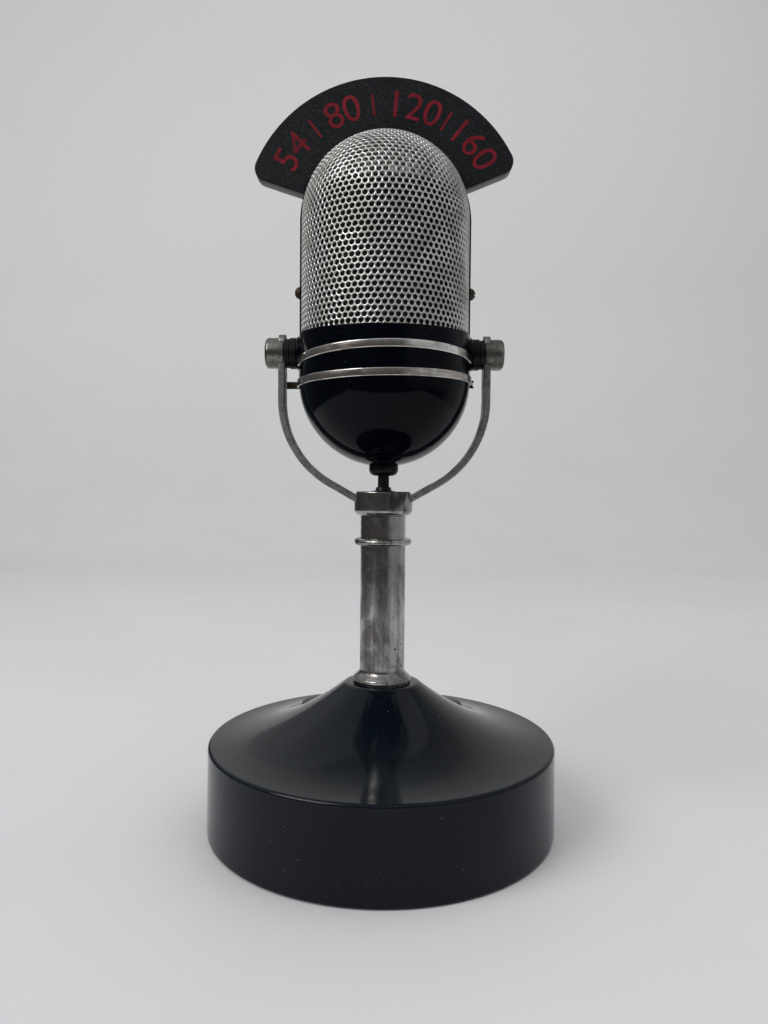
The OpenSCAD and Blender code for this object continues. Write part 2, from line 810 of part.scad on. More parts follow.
// Bushes that line the head's pivot holes and stand out to the washers
module pivot_bushes() {
    start = head_in - 0.5;
    color("#141416") for (s = [-1, 1]) translate([0, 0, pivot_z]) along_x(s) difference() {
        union() {
            translate([0, 0, pad_face]) cylinder(r = cap_r + 0.1, h = bush_end - pad_face);
            translate([0, 0, start]) cylinder(r = spigot_r, h = bush_end - start - cut);
        }
        translate([0, 0, start - cut]) cylinder(r = pivot_r + slip, h = bush_end - start + 2 * cut);
    }
}

// Room of the grille: the front half above its lower edge, and an ear round each side screw
module grille_zone(g) {
    translate([-head_d, -head_d, grille_low - g])
        cube([2 * head_d, head_d + grille_back + g, 4 * head_d]);
    translate([-head_d, -cut, side_screw_z - ear_half - g])
        cube([2 * head_d, cut + ear_back + g, 2 * (ear_half + g)]);
}

// Places of the screws at the head's sides, with +Z outwards
module at_side_screws() {
    for (a = [side_screw_turn, 180 - side_screw_turn])
        rotate([0, 0, a]) translate([0, 0, side_screw_z]) along_x(1) children();
}

// Wall of the whole pill, with the pivot pads, before it is split into shells
module pill_wall() {
    difference() {
        union() {
            pill(head_r);
            for (s = [-1, 1]) translate([0, 0, pivot_z]) along_x(s) revolve([[0, 0], [pad_r, 0],
                [pad_r, pad_face - 0.8], [pad_r - 0.8, pad_face], [0, pad_face]]);
        }
        pill(head_in);
        for (s = [-1, 1]) translate([0, 0, pivot_z]) along_x(s)
            translate([0, 0, head_in - 3]) cylinder(r = spigot_r + slip, h = 9);
        intersection() {
            pill(grille_r + 0.1);
            grille_zone(rebate_gap);
        }
        translate([0, 0, shell_low - cut]) cylinder(r = grommet_neck + slip, h = shell_wall + 3 * cut);
    }
}

// Screw tubes that join the two shells low down
module screw_tubes(r) {
    for (s = [-1, 1]) translate([s * head_screw_x, 0, head_screw_z]) forward()
        translate([0, 0, -head_r]) cylinder(r = r, h = head_d);
}

module behind(y) {
    translate([-head_d, y, low_z - head_d]) cube([2 * head_d, head_d, head_d * 4]);
}

module ahead(y) {
    translate([-head_d, y - head_d, low_z - head_d]) cube([2 * head_d, head_d, head_d * 4]);
}

// Back half of the head, with vents behind the loudspeaker and a small lug on the right seam
module rear_shell() {
    color("#101113") difference() {
        union() {
            intersection() {
                pill_wall();
                behind(0);
            }
            intersection() {
                screw_tubes(4);
                pill(head_r - shell_wall / 2);
                behind(0);
            }
            translate([head_r - 0.6, 0, low_z - 2]) {
                cube([1.4, 1.4, 2.9]);
                for (z = [0, 2.3]) translate([0, 0, z]) cube([2, 1.4, 0.6]);
            }
        }
        for (s = [-1, 1]) translate([s * head_screw_x, 0, head_screw_z]) forward() {
            translate([0, 0, -head_r]) cylinder(r = tap_d / 2 + 0.2, h = head_r + cut);
            translate([0, 0, -head_r - cut])
                cylinder(r = tap_head_d / 2 + fit, h = head_r + cut - head_screw_seat);
        }
        at_side_screws() translate([0, 0, head_in - 4]) cylinder(r = tap_d / 2 + 0.2, h = 9);
        for (i = [0:vents - 1]) translate([(i - (vents - 1) / 2) * 6 - 1.1, head_in - 12, speaker_z - 13])
            cube([2.2, 20, 26]);
        translate([0, sign_mid, high_z]) {
            for (a = peg_angles) rotate([0, a, 0])
                translate([0, 0, head_in - 3]) cylinder(r = peg_r + 0.1, h = 9);
            cylinder(r = peg_r + 0.1, h = head_r + cut);
        }
        translate([-head_r - cut, -cut, tab_z - slip])
            cube([cut + tab_in + slip, cut + tab_t + slip, tab_h + 2 * slip]);
    }
}

// Front half of the head, up to the grille's lower edge
module front_shell() {
    color("#101113") difference() {
        intersection() {
            union() {
                pill_wall();
                intersection() {
                    screw_tubes(3.6);
                    pill(head_r - shell_wall / 2);
                }
            }
            ahead(0);
            translate([0, 0, rim_z]) rotate([rim_tilt, 0, 0]) translate([-head_d, -head_d * 2, -head_d * 2])
                cube([2 * head_d, 4 * head_d, 2 * head_d]);
        }
        for (s = [-1, 1]) translate([s * head_screw_x, 0, head_screw_z]) forward()
            translate([0, 0, -cut]) cylinder(r = tap_d / 2, h = tap_bite + 3 + cut);
    }
}

// Sheet that wraps the front of the dome and the upper half. Its small holes are left out of the solid.
module grille() {
    color("lightgray") difference() {
        intersection() {
            difference() {
                pill(grille_r);
                pill(grille_r - sheet_t);
            }
            grille_zone(0);
        }
        at_side_screws() translate([0, 0, head_in - 4]) cylinder(r = tap_d / 2 + 0.2, h = 9);
    }
}

module grille_cloth() {
    color("#0a0a0a") intersection() {
        difference() {
            pill(cloth_r);
            pill(cloth_r - cloth_t);
        }
        ahead(-0.5);
        translate([-head_d, -head_d, grille_low + 0.2]) cube([2 * head_d, 2 * head_d, head_d * 3]);
    }
}

// Half ring of trim on the shell's front, tipped by `tilt` about its own level and ending at y = stop
module band(drop, tilt, stop) {
    color("silver") intersection() {
        translate([0, 0, pivot_z - drop]) rotate([-tilt, -band_turn, 0]) translate([0, 0, -band_h / 2])
            difference() {
                cylinder(r = head_r * 1.2, h = band_h);
                translate([0, 0, -cut]) cylinder(r = head_r * 0.8, h = band_h + 2 * cut);
            }
        translate([0, 0, low_z - 20]) ring(head_r + band_t, head_r + 0.05, head_high);
        ahead(stop);
    }
}

module upper_band() {
    band(upper_band_drop, band_tilt, -pad_r - 0.2);
}

module lower_band() {
    band(lower_band_drop, 0, -1);
}

// Plate across the head that carries the loudspeaker, with a lug for each side screw
module speaker_baffle() {
    plate_edge = cloth_r - cloth_t - fit;
    lug_w = 8;
    color("#1b1c1e") difference() {
        union() {
            intersection() {
                pill(plate_edge);
                translate([-head_r, baffle_y, grille_low + 0.5]) cube([head_d, baffle_t, 2 * head_d]);
            }
            for (y = [[spk_y - 0.5, plate_edge], [0, lug_r]]) intersection() {
                pill(y[1]);
                difference() {
                    translate([-head_r, y[0], side_screw_z - lug_w / 2])
                        cube([head_d, ear_back + 0.6 - y[0], lug_w]);
                    translate([-lug_r + 5.4, y[0] - cut, side_screw_z - lug_w])
                        cube([2 * lug_r - 10.8, head_r, 2 * lug_w]);
                }
            }
        }
        translate([0, spk_y + cut, speaker_z]) forward()
            cylinder(r = speaker_r - rim_w, h = baffle_t + 2 * cut);
        at_side_screws() translate([0, 0, lug_r - tap_bite]) cylinder(r = tap_d / 2, h = tap_bite + cut);
    }
}

module speaker_frame() {
    hole_r = coil_r + 1.8;
    color("#55585c") translate([0, spk_y, speaker_z]) forward() revolve([
        [hole_r, -basket_deep - 1], [magnet_r - 1, -basket_deep - 1], [magnet_r, -basket_deep],
        [speaker_r - 1.6, -rim_t], [speaker_r, -rim_t], [speaker_r, 0], [speaker_r - rim_w, 0],
        [speaker_r - rim_w, -rim_t], [magnet_r - 1, -basket_deep + 0.6], [hole_r, -basket_deep + 0.6]]);
}

// Magnet with the ring gap that the voice coil moves in
module speaker_magnet() {
    color("#2b2b2d") translate([0, spk_y, speaker_z]) forward()
        translate([0, 0, -basket_deep - 1 - magnet_deep]) difference() {
            cylinder(r = magnet_r, h = magnet_deep);
            translate([0, 0, 1]) ring(coil_r + 1, coil_r - 0.9, magnet_deep);
        }
}

module speaker_surround() {
    color("#101010") translate([0, spk_y, speaker_z]) forward()
        translate([0, 0, -rim_t]) ring(speaker_r - rim_w - 0.1, cone_r + 0.2, 0.6);
}

module speaker_cone() {
    color("#1d1d1f") translate([0, spk_y, speaker_z]) forward() revolve([
        [coil_wall_r, -cone_deep - 0.6], [coil_wall_r + paper_t, -cone_deep - 0.6],
        [cone_r, -cone_front - paper_t], [cone_r, -cone_front], [cone_r - 0.6, -cone_front],
        [coil_wall_r, -cone_deep]]);
}

module voice_coil() {
    color("#b5651d") translate([0, spk_y, speaker_z]) forward()
        translate([0, 0, -coil_low]) ring(coil_wall_r, coil_r, coil_low - cone_deep);
}

module dust_cap() {
    edge = coil_wall_r - slip;
    color("#1d1d1f") translate([0, spk_y, speaker_z]) forward() translate([0, 0, -cone_deep])
        revolve([[0, 0], [edge, 0], [edge, 0.3], [edge - 1.8, 1.2], [edge / 2, 1.8], [0, 2.1]]);
}

// Domed grommet in the hole that the two shells form
module head_grommet() {
    lip_z = shell_low + shell_wall + 0.8;
    color("#141416") revolve([
        [cable_r + slip, grommet_z], [4.2, grommet_z], [5.2, grommet_z + 0.7], [grommet_r, grommet_z + 1.8],
        [grommet_r, shell_low - 0.05], [grommet_neck, shell_low - 0.05], [grommet_neck, lip_z],
        [grommet_r, lip_z], [grommet_r, lip_z + 1.2], [cable_r + slip, lip_z + 1.2]]);
}

// Two wires to the loudspeaker's rim and two, behind the magnet, to the sign
module head_leads() {
    magnet_back = spk_y + basket_deep + 1 + magnet_deep;
    back = magnet_back + lead_r + fit;
    rim_z = speaker_z - speaker_r + 1.3;
    lamps = high_z + lamp_ring - strip_w / 2 - slip;
    lamp_y = strip_y - strip_t / 2 - 0.1;
    color("firebrick") for (s = [-1, 1]) {
        lead([[s * 0.8, -0.8, cable_end], [s * 0.8, -0.8, cable_end + 2], [s * 2, 0, cable_end + 10],
            [s * 4, 2, cable_end + 20], [s * 5, 3, pivot_z], [s * 5, 2.6, rim_z - 3],
            [s * 5, 1.4, rim_z - 0.6], [s * 5, 0, rim_z], [s * 5, spk_y + rim_t, rim_z]]);
        lead([[s * 0.8, 0.8, cable_end], [s * 0.8, 0.8, cable_end + 2], [s * 0.8, 4, cable_end + 12],
            [s * 0.8, back - 1, pivot_z], [s * 0.8, back, speaker_z - magnet_r],
            [s * 0.8, back, speaker_z + magnet_r], [s * 0.8, back - 3, high_z + 6],
            [s * 0.8, 6, high_z + 20], [s * 0.8, sign_mid, high_z + head_in - 4],
            [s * 0.8, sign_mid, sign_in + sign_wall + high_z + 1], [s * 0.8, lamp_y, lamps - 2.4],
            [s * 0.8, lamp_y, lamps - 1], [s * 0.8, lamp_y, lamps]]);
    }
}

module head_screws() {
    color("silver") for (s = [-1, 1]) translate([s * head_screw_x, head_screw_seat, head_screw_z]) forward()
        tap_screw(head_screw_seat);
}

// Round-head screws at the sides. Each goes through the rear shell and the grille's ear into the baffle.
module grille_screws() {
    seat = head_r + slip;
    color("#8a6b45") at_side_screws() {
        translate([0, 0, seat]) revolve(concat([[0, 0]],
            [for (a = [0:15:90]) [side_head_r * cos(a), side_head_h * sin(a)]]));
        translate([0, 0, lug_r - tap_bite + cut]) cylinder(r = tap_d / 2 - slip, h = seat - lug_r + tap_bite);
    }
}

// Bent end of a metal strip that sticks out of the left seam
module seam_tab() {
    color("#6b5a2e") translate([-head_r - tab_out, 0, tab_z]) cube([tab_out + tab_in, tab_t, tab_h]);
}

// Nylon tie that keeps the cable's end in the head
module cable_tie() {
    color("#d8d6cf") translate([0, 0, shell_low + shell_wall + 2.6]) {
        ring(cable_r + 1.3, cable_r + slip, 2.5);
        translate([cable_r + 0.8, -1.8, 0]) cube([2.6, 3.6, 2.5]);
    }
}

module sign_plate(y0, y1, inset) {
    translate([0, y1, high_z]) forward() linear_extrude(y1 - y0) rotate(sign_turn) polygon(
        sign_outline(sign_in + inset, sign_r - inset, sign_half - inset * 1.2, sign_round - inset / 2));
}

// Box behind the sign's face, with two pegs into the rear shell
module sign_case() {
    color("#121315") difference() {
        union() {
            sign_plate(sign_y + face_t, sign_y + sign_t, 0);
            for (a = peg_angles) translate([0, sign_mid, high_z]) rotate([0, a, 0])
                translate([0, 0, head_in - 0.5]) cylinder(r = peg_r, h = sign_in - head_in + 1.5);
        }
        sign_plate(sign_y + face_t - cut, strip_y, sign_wall);
        translate([0, sign_mid, high_z]) cylinder(r = peg_r + 0.1, h = sign_in + sign_wall + cut);
    }
}

module sign_face() {
    color("#141517") sign_plate(sign_y, sign_y + face_t, 0);
}

module lamp_strip() {
    color("#2f6b3a") translate([0, strip_y, high_z]) forward() linear_extrude(strip_t) rotate(sign_turn)
        polygon(sign_outline(lamp_ring - strip_w / 2, lamp_ring + strip_w / 2, sign_half - 8, 1));
}

module sign_lamps() {
    color("tomato") for (a = lamp_angles) translate([0, strip_y - strip_t, high_z]) rotate([0, a, 0])
        translate([0, 0, lamp_ring]) forward() cylinder(r = 1.5, h = lamp_h);
}

base_shell();
bottom_plate();
battery_door();
rubber_feet();
base_screws();
battery_cells();
battery_contacts();
battery_leads();
circuit_board();
tuning_gang();
tuning_shaft();
tuning_wheel();
volume_control();
volume_shaft();
volume_wheel();
ferrite_rod();
aerial_coil();
rod_clips();
tuned_coils();
capacitors();
amplifier_chip();
cable_socket();
stem_washer();
tie_nuts();
tie_rod();
stem_tube();
bead_ring();
collar();
yoke();
stem_grommet();
stem_cable();
joint_cable();
pivot_caps();
pivot_screws();
pivot_washers();
pivot_bushes();
rear_shell();
front_shell();
grille();
grille_cloth();
upper_band();
lower_band();
speaker_baffle();
speaker_frame();
speaker_magnet();
speaker_surround();
speaker_cone();
voice_coil();
dust_cap();
head_cable();
head_grommet();
cable_tie();
head_leads();
head_screws();
grille_screws();
seam_tab();
sign_case();
sign_face();
lamp_strip();
sign_lamps();
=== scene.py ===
# %% [markdown]
# # A table radio in the shape of a studio microphone
# The radio stands on a heavy round base of glossy black plastic. A chromed stem carries a yoke, and the
# pill-shaped head tilts in it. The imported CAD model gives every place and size. This script dresses it: it
# makes finer surfaces where light shows the shape, and gives every piece a finish that is built from nodes.
#
# The front faces -Y, and the table is z = 0. Blender works in metres, but all sizes below are in
# millimetres, as in the part's source, and one function turns them into metres.

import math

import bmesh
import bpy
import numpy as np
from mathutils import Matrix


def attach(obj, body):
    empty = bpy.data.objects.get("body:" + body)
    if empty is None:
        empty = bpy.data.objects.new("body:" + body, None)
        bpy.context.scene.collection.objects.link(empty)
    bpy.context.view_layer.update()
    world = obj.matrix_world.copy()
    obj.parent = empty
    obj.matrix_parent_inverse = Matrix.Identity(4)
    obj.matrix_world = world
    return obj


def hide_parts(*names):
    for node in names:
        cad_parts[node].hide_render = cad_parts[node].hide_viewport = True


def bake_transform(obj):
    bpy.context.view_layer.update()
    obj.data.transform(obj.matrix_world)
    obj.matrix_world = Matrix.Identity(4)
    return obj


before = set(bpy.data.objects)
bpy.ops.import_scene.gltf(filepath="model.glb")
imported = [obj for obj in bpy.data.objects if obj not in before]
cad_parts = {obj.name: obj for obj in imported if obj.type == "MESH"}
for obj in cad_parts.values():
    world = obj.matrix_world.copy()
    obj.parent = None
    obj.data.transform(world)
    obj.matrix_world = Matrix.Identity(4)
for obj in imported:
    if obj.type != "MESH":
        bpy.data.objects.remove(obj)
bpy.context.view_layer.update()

# %% [markdown]
# ## The camera
# The photograph is a portrait, 768 by 1024, taken from close by with a wide lens. It looks almost level, a
# little down, from the height of the stem's collar. Its place was worked out from the widths and heights of
# the round pieces, whose real sizes the CAD gives: a near circle looks larger and more open than a far one.

# %% The camera
PHOTO_HEIGHT = 1024
SENSOR = 36.0
FOCAL_PIXELS = 772.0


def in_scene(name, data):
    """A new object that shows data, linked to the scene."""
    thing = bpy.data.objects.new(name, data)
    bpy.context.scene.collection.objects.link(thing)
    return thing


def add_camera(place, down, roll):
    """A camera that looks along +Y, tipped down and rolled by angles in radians."""
    data = bpy.data.cameras.new("photo_camera")
    data.sensor_width = SENSOR
    data.lens = FOCAL_PIXELS / PHOTO_HEIGHT * SENSOR
    data.clip_start, data.clip_end = 0.01, 20
    camera = bpy.context.scene.camera = in_scene("photo_camera", data)
    aim = Matrix.Rotation(math.pi / 2 - down, 4, "X") @ Matrix.Rotation(roll, 4, "Z")
    camera.matrix_world = Matrix.Translation(place) @ aim
    return camera


camera = add_camera((0.00029, -0.303, 0.1328), down=0.0356, roll=0.0085)
print("lens, mm:", round(camera.data.lens, 2))

# %% [markdown]
# ## Surfaces from numbers
# Almost every piece here is a surface of revolution, a flat outline given a thickness, or a section carried
# along a path. Each is a grid of points, so one small function can join the points into faces. The points
# come from numpy as whole arrays, which is short to write and exact: a curve has no steps but those we
# choose.


# %% Helpers: a grid, and a mesh from parts
MM = 0.001


def grid(rows, columns, wrap_rows=False, wrap_columns=False):
    """Faces of a grid of points, four numbers a face. Point (i, j) has the number i * columns + j."""
    face_rows, face_columns = rows - (not wrap_rows), columns - (not wrap_columns)
    i, j = np.meshgrid(np.arange(face_rows), np.arange(face_columns), indexing="ij")
    i2, j2 = (i + 1) % rows, (j + 1) % columns
    corners = [i * columns + j, i2 * columns + j, i2 * columns + j2, i * columns + j2]
    return np.stack(corners, -1).reshape(-1, 4)


def mesh_from(name, *parts):
    """One mesh from parts. A part is (points in mm, faces, faces, ...), and each set of faces has one row a
    face. Points that coincide are merged, so that seams and poles close, and the faces are turned
    outwards."""
    points, corners, sizes, start = [], [], [], 0
    for part in parts:
        its_points = np.asarray(part[0], float).reshape(-1, 3)
        for faces in part[1:]:
            corners.append((np.asarray(faces) + start).ravel())
            sizes.append(np.full(len(faces), np.shape(faces)[1]))
        points.append(its_points)
        start += len(its_points)
    points, corners, sizes = np.concatenate(points) * MM, np.concatenate(corners), np.concatenate(sizes)
    mesh = bpy.data.meshes.new(name)
    mesh.vertices.add(len(points))
    mesh.vertices.foreach_set("co", points.astype(np.float32).ravel())
    mesh.loops.add(len(corners))
    mesh.loops.foreach_set("vertex_index", corners.astype(np.int32))
    mesh.polygons.add(len(sizes))
    mesh.polygons.foreach_set("loop_start", (np.cumsum(sizes) - sizes).astype(np.int32))
    mesh.update(calc_edges=True)
    bm = bmesh.new()
    bm.from_mesh(mesh)
    bmesh.ops.remove_doubles(bm, verts=bm.verts, dist=1e-6)
    bmesh.ops.recalc_face_normals(bm, faces=bm.faces)
    bm.to_mesh(mesh)
    bm.free()
    return mesh


# %% [markdown]
# A turned piece needs only its profile, a list of (radius, height) points. Real edges are never quite
# sharp: the thin bright line that a worn edge catches comes from its small radius. So a profile's corners
# are eased before it is turned, by a curve that starts a little before the corner and ends a little after
# it.


# %% Helpers: eased corners, turned pieces, pieces cut from a plate
def eased(outline, radius, steps=4, closed=True, least_turn=20):
    """The outline with its corners rounded. From a, before the corner c, to b, after it, the curve is
    p(t) = (1 - t)^2 a + 2 t (1 - t) c + t^2 b. Corners that turn by less than least_turn degrees are kept."""
    corner = np.asarray(outline, float)
    back, ahead = np.roll(corner, 1, 0) - corner, np.roll(corner, -1, 0) - corner
    back_length = np.linalg.norm(back, axis=1, keepdims=True)
    ahead_length = np.linalg.norm(ahead, axis=1, keepdims=True)
    back, ahead = back / back_length, ahead / ahead_length
    turn = np.degrees(np.arccos(np.clip(-(back * ahead).sum(1, keepdims=True), -1, 1)))
    longest = 0.45 * np.minimum(back_length, ahead_length)
    cut = np.minimum(np.reshape(radius, (-1, 1)), longest) * (turn > least_turn)
    if not closed:
        cut[[0, -1]] = 0
    t = np.linspace(0, 1, steps + 1)[None, :, None]
    a, b, c = (corner + cut * back)[:, None], (corner + cut * ahead)[:, None], corner[:, None]
    curve = ((1 - t) ** 2 * a + 2 * t * (1 - t) * c + t**2 * b).reshape(-1, 2)
    keep = np.linalg.norm(curve - np.roll(curve, 1, 0), axis=1) > 1e-5
    keep[0] |= not closed
    return curve[keep]


def arc(x, z, radius, start, end, steps):
    """Points of a circle's arc, its angles in degrees from +X towards +Z."""
    a = np.radians(np.linspace(start, end, steps + 1))
    return np.stack([x + radius * np.cos(a), z + radius * np.sin(a)], 1)


def turned(profile, steps=160, start=0, end=360):
    """A part: the profile turned about Z from one angle to another. x = r cos a, y = r sin a, z = h. A
    profile that starts and ends on the axis is open, and any other is a closed loop."""
    r, h = np.asarray(profile, float).T
    full = end - start == 360
    a = np.radians(np.linspace(start, end, steps, endpoint=not full))
    points = np.stack([np.outer(np.cos(a), r), np.outer(np.sin(a), r), np.outer(np.ones_like(a), h)], -1)
    open_profile = r[0] < 1e-6 and r[-1] < 1e-6
    faces = [grid(len(a), len(r), full, not open_profile)]
    if not full:
        faces += [np.arange(len(r))[None], (len(a) - 1) * len(r) + np.arange(len(r))[None]]
    return (points.reshape(-1, 3), *faces)


def along_x(part, side):
    """The part with its +Z turned to +X on side 1, or to -X on side -1."""
    x, y, z = part[0].T
    return (np.stack([side * z, y, -side * x], 1), *part[1:])


def backwards(part):
    """The part with its +Z turned to +Y."""
    x, y, z = part[0].T
    return (np.stack([x, z, -y], 1), *part[1:])


def moved(part, x=0.0, y=0.0, z=0.0):
    """The part shifted along the three axes."""
    return (part[0] + (x, y, z), *part[1:])


def rotated(part, degrees, first, second):
    """The part turned by an angle that takes one axis towards another, both given by number."""
    a = math.radians(degrees)
    points = np.array(part[0], float)
    u, v = part[0][:, first], part[0][:, second]
    points[:, first], points[:, second] = u * math.cos(a) - v * math.sin(a), u * math.sin(a) + v * math.cos(a)
    return (points, *part[1:])


def spun(part, degrees):
    """The part turned about Z."""
    return rotated(part, degrees, 0, 1)


def tipped(part, degrees):
    """The part turned about Y, its top towards +X."""
    return rotated(part, degrees, 2, 0)


def rolled(part, degrees):
    """The part turned about X, its front downwards."""
    return rotated(part, degrees, 1, 2)


def inset(outline, distance):
    """A closed outline, counter-clockwise, moved inwards along the half-angle line of each corner."""
    p = np.asarray(outline, float)
    a, b = p - np.roll(p, 1, 0), np.roll(p, -1, 0) - p
    a, b = a / np.linalg.norm(a, axis=1, keepdims=True), b / np.linalg.norm(b, axis=1, keepdims=True)
    normal = np.stack([-(a + b)[:, 1], (a + b)[:, 0]], 1)
    normal /= np.linalg.norm(normal, axis=1, keepdims=True)
    half = np.clip((normal * np.stack([-a[:, 1], a[:, 0]], 1)).sum(1, keepdims=True), 0.5, 1)
    return p + normal * distance / half


def capped(loops):
    """A part from closed loops of points, loops[i, j], joined one to the next, its two ends closed."""
    rows, n, _ = loops.shape
    first = np.arange(n)[None]
    return (loops.reshape(-1, 3), grid(rows, n, wrap_columns=True), first, (rows - 1) * n + first)


def plate(outline, y0, y1, edge, steps=3):
    """A part: an outline of (x, z) points made solid from y0 to y1, its edges rounded by `edge`. At the
    angle a the outline is moved in by edge (1 - sin a) and stands edge (1 - cos a) from the face. One more
    loop, just inside, keeps the flat face's shading flat."""
    a = np.radians(np.linspace(0, 90, steps + 1))
    ins = np.concatenate([[edge + 0.25], edge * (1 - np.sin(a))])
    ys = np.concatenate([[0], edge * (1 - np.cos(a))])
    ins, ys = np.concatenate([ins, ins[::-1]]), np.concatenate([y0 + ys, (y1 - ys)[::-1]])
    return capped(np.array([np.insert(inset(outline, i), 1, y, axis=1) for i, y in zip(ins, ys)]))


def prism(outline, y0, y1):
    """A part: an outline of (x, z) points carried straight from y0 to y1, its edges sharp."""
    return capped(np.array([np.insert(np.asarray(outline, float), 1, y, axis=1) for y in (y0, y1)]))


def rod(radius, low, high, steps=48):
    """A part: a plain round rod along Z, used only to cut or to join."""
    return turned([[0, low], [radius, low], [radius, high], [0, high]], steps)


def box_part(low, high):
    """A part: a plain box, used only to cut or to join."""
    x, y, z = np.meshgrid(*zip(low, high), indexing="ij")
    faces = [[0, 1, 3, 2], [4, 6, 7, 5], [0, 4, 5, 1], [2, 3, 7, 6], [0, 2, 6, 4], [1, 5, 7, 3]]
    return (np.stack([x, y, z], -1).reshape(-1, 3), np.array(faces))


# %% [markdown]
# Slots and bosses are easier to cut and join than to compute. Blender's Boolean modifier does it between
# closed meshes. It is applied at once, so that the finished piece is a plain mesh.


# %% Helpers: cutting, joining, and making a piece
def combined(mesh, *steps):
    """The mesh after steps of ("UNION" or "DIFFERENCE", part, part, ...)."""
    target, helpers = in_scene("shaping", mesh), []
    for number, (operation, *parts) in enumerate(steps):
        for k, part in enumerate(parts):
            helpers.append(in_scene(f"shaping_{number}_{k}", mesh_from("shaping", part)))
            modifier = target.modifiers.new(helpers[-1].name, "BOOLEAN")
            modifier.operation, modifier.object, modifier.solver = operation, helpers[-1], "MANIFOLD"
    graph = bpy.context.evaluated_depsgraph_get()
    result = bpy.data.meshes.new_from_object(target.evaluated_get(graph))
    result.name = mesh.name
    for thing in (target, *helpers):
        bpy.data.objects.remove(thing)
    return result


made = {}


def add_piece(name, shape, body, slot, nodes=(), material=None, sharp=32):
    """Puts a mesh or a part in the scene as a piece that rides on a body and stands for CAD nodes. It gets
    the finish of its slot, unless another is given. Faces that meet at more than `sharp` degrees keep a hard
    edge, and the rest are shaded smoothly. Without a body it's left free."""
    mesh = shape if isinstance(shape, bpy.types.Mesh) else mesh_from(name, shape)
    piece = in_scene(name, mesh)
    mesh.shade_smooth()
    mesh.set_sharp_from_angle(angle=math.radians(sharp))
    mesh.materials.clear()
    mesh.materials.append(material or finish_of[slot])
    if body:
        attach(piece, body)
    if nodes:
        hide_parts(*nodes)
    made[name] = sum(len(p.vertices) - 2 for p in mesh.polygons)
    print(f"{name}: {made[name]} triangles")
    return piece


# %% [markdown]
# ## Finishes
# No real surface is one even colour. Gloss plastic carries dust, fine scratches and the smear of fingers.
# Old chrome has pits and dull patches. Such effects belong to many materials, so each is a node group: a
# small network with named inputs that is built once and used with other values each time. A group puts out
# only a mask or a value that changes over the surface. What is constant is set on the shader itself.


# %% Helpers: nodes
def put(tree, kind, settings=(), **sockets):
    """Adds a node. A socket takes a number, a colour or another node's output. `input3` is the socket with
    number 3, and any other name is the socket's own, with _ for a space."""
    node = tree.nodes.new("ShaderNode" + kind)
    for name, value in dict(settings).items():
        setattr(node, name, value)
    for name, value in sockets.items():
        socket = node.inputs[int(name[5:]) if name.startswith("input") else name.replace("_", " ")]
        if isinstance(value, bpy.types.NodeSocket):
            tree.links.new(value, socket)
        else:
            socket.default_value = value
    return node


def reckon(operation, *values):
    """The output of a Math node, in the tree of the first value that is another node's output."""
    tree = next(v for v in values if isinstance(v, bpy.types.NodeSocket)).id_data
    sockets = {f"input{k}": value for k, value in enumerate(values)}
    return put(tree, "Math", {"operation": operation}, **sockets).outputs[0]


def times(a, b):
    """The product of two values."""
    return reckon("MULTIPLY", a, b)


def plus(a, b):
    """The sum of two values."""
    return reckon("ADD", a, b)


def minus(a, b):
    """The first value less the second."""
    return reckon("SUBTRACT", a, b)


def between(value, low, high, to_low=0.0, to_high=1.0):
    """Maps low..high to to_low..to_high, smoothly and without going beyond them."""
    return put(
        value.id_data, "MapRange", {"interpolation_type": "SMOOTHSTEP"}, Value=value,
        From_Min=low, From_Max=high, To_Min=to_low, To_Max=to_high,
    ).outputs[0]


def noise(vector, **inputs):
    """The value of a noise texture, around 0.5."""
    return put(vector.id_data, "TexNoise", Vector=vector, **inputs).outputs[0]


def xyz(vector):
    """The three numbers of a vector."""
    return put(vector.id_data, "SeparateXYZ", Vector=vector).outputs


def blend_colours(mask, first, second):
    """The first colour where the mask is 0, the second where it is 1. Each is a hex code or an output."""
    first, second = (colour(c) if isinstance(c, str) else c for c in (first, second))
    mix = put(mask.id_data, "Mix", {"data_type": "RGBA"}, input0=mask, input6=first, input7=second)
    return mix.outputs[2]


def colour(code):
    """The linear colour of a hex code such as #1a2b3c."""
    parts = [int(code[k : k + 2], 16) / 255 for k in (1, 3, 5)]
    return (*[c / 12.92 if c <= 0.04045 else ((c + 0.055) / 1.055) ** 2.4 for c in parts], 1.0)


def new_group(name, **inputs):
    """A node group with a Vector input, float inputs with their usual values, and one output, Mask."""
    tree = bpy.data.node_groups.new(name, "ShaderNodeTree")
    tree.interface.new_socket("Vector", in_out="INPUT", socket_type="NodeSocketVector")
    for key, value in inputs.items():
        socket = tree.interface.new_socket(key, in_out="INPUT", socket_type="NodeSocketFloat")
        socket.default_value = value
    tree.interface.new_socket("Mask", in_out="OUTPUT", socket_type="NodeSocketFloat")
    return tree, tree.nodes.new("NodeGroupInput").outputs, tree.nodes.new("NodeGroupOutput").inputs["Mask"]


def use(group, vector, **inputs):
    """The Mask of a group that is placed in the vector's tree."""
    return put(vector.id_data, "Group", {"node_tree": group}, Vector=vector, **inputs).outputs["Mask"]


# %% [markdown]
# Specks and pits come from a Voronoi texture, which scatters one point in each cell of space. A cell's own
# random colour decides whether it has a speck and how large it is. Scratches are the thin lines where a
# stretched noise passes through its middle value, and they show only in patches. Smears are soft, large
# noise.


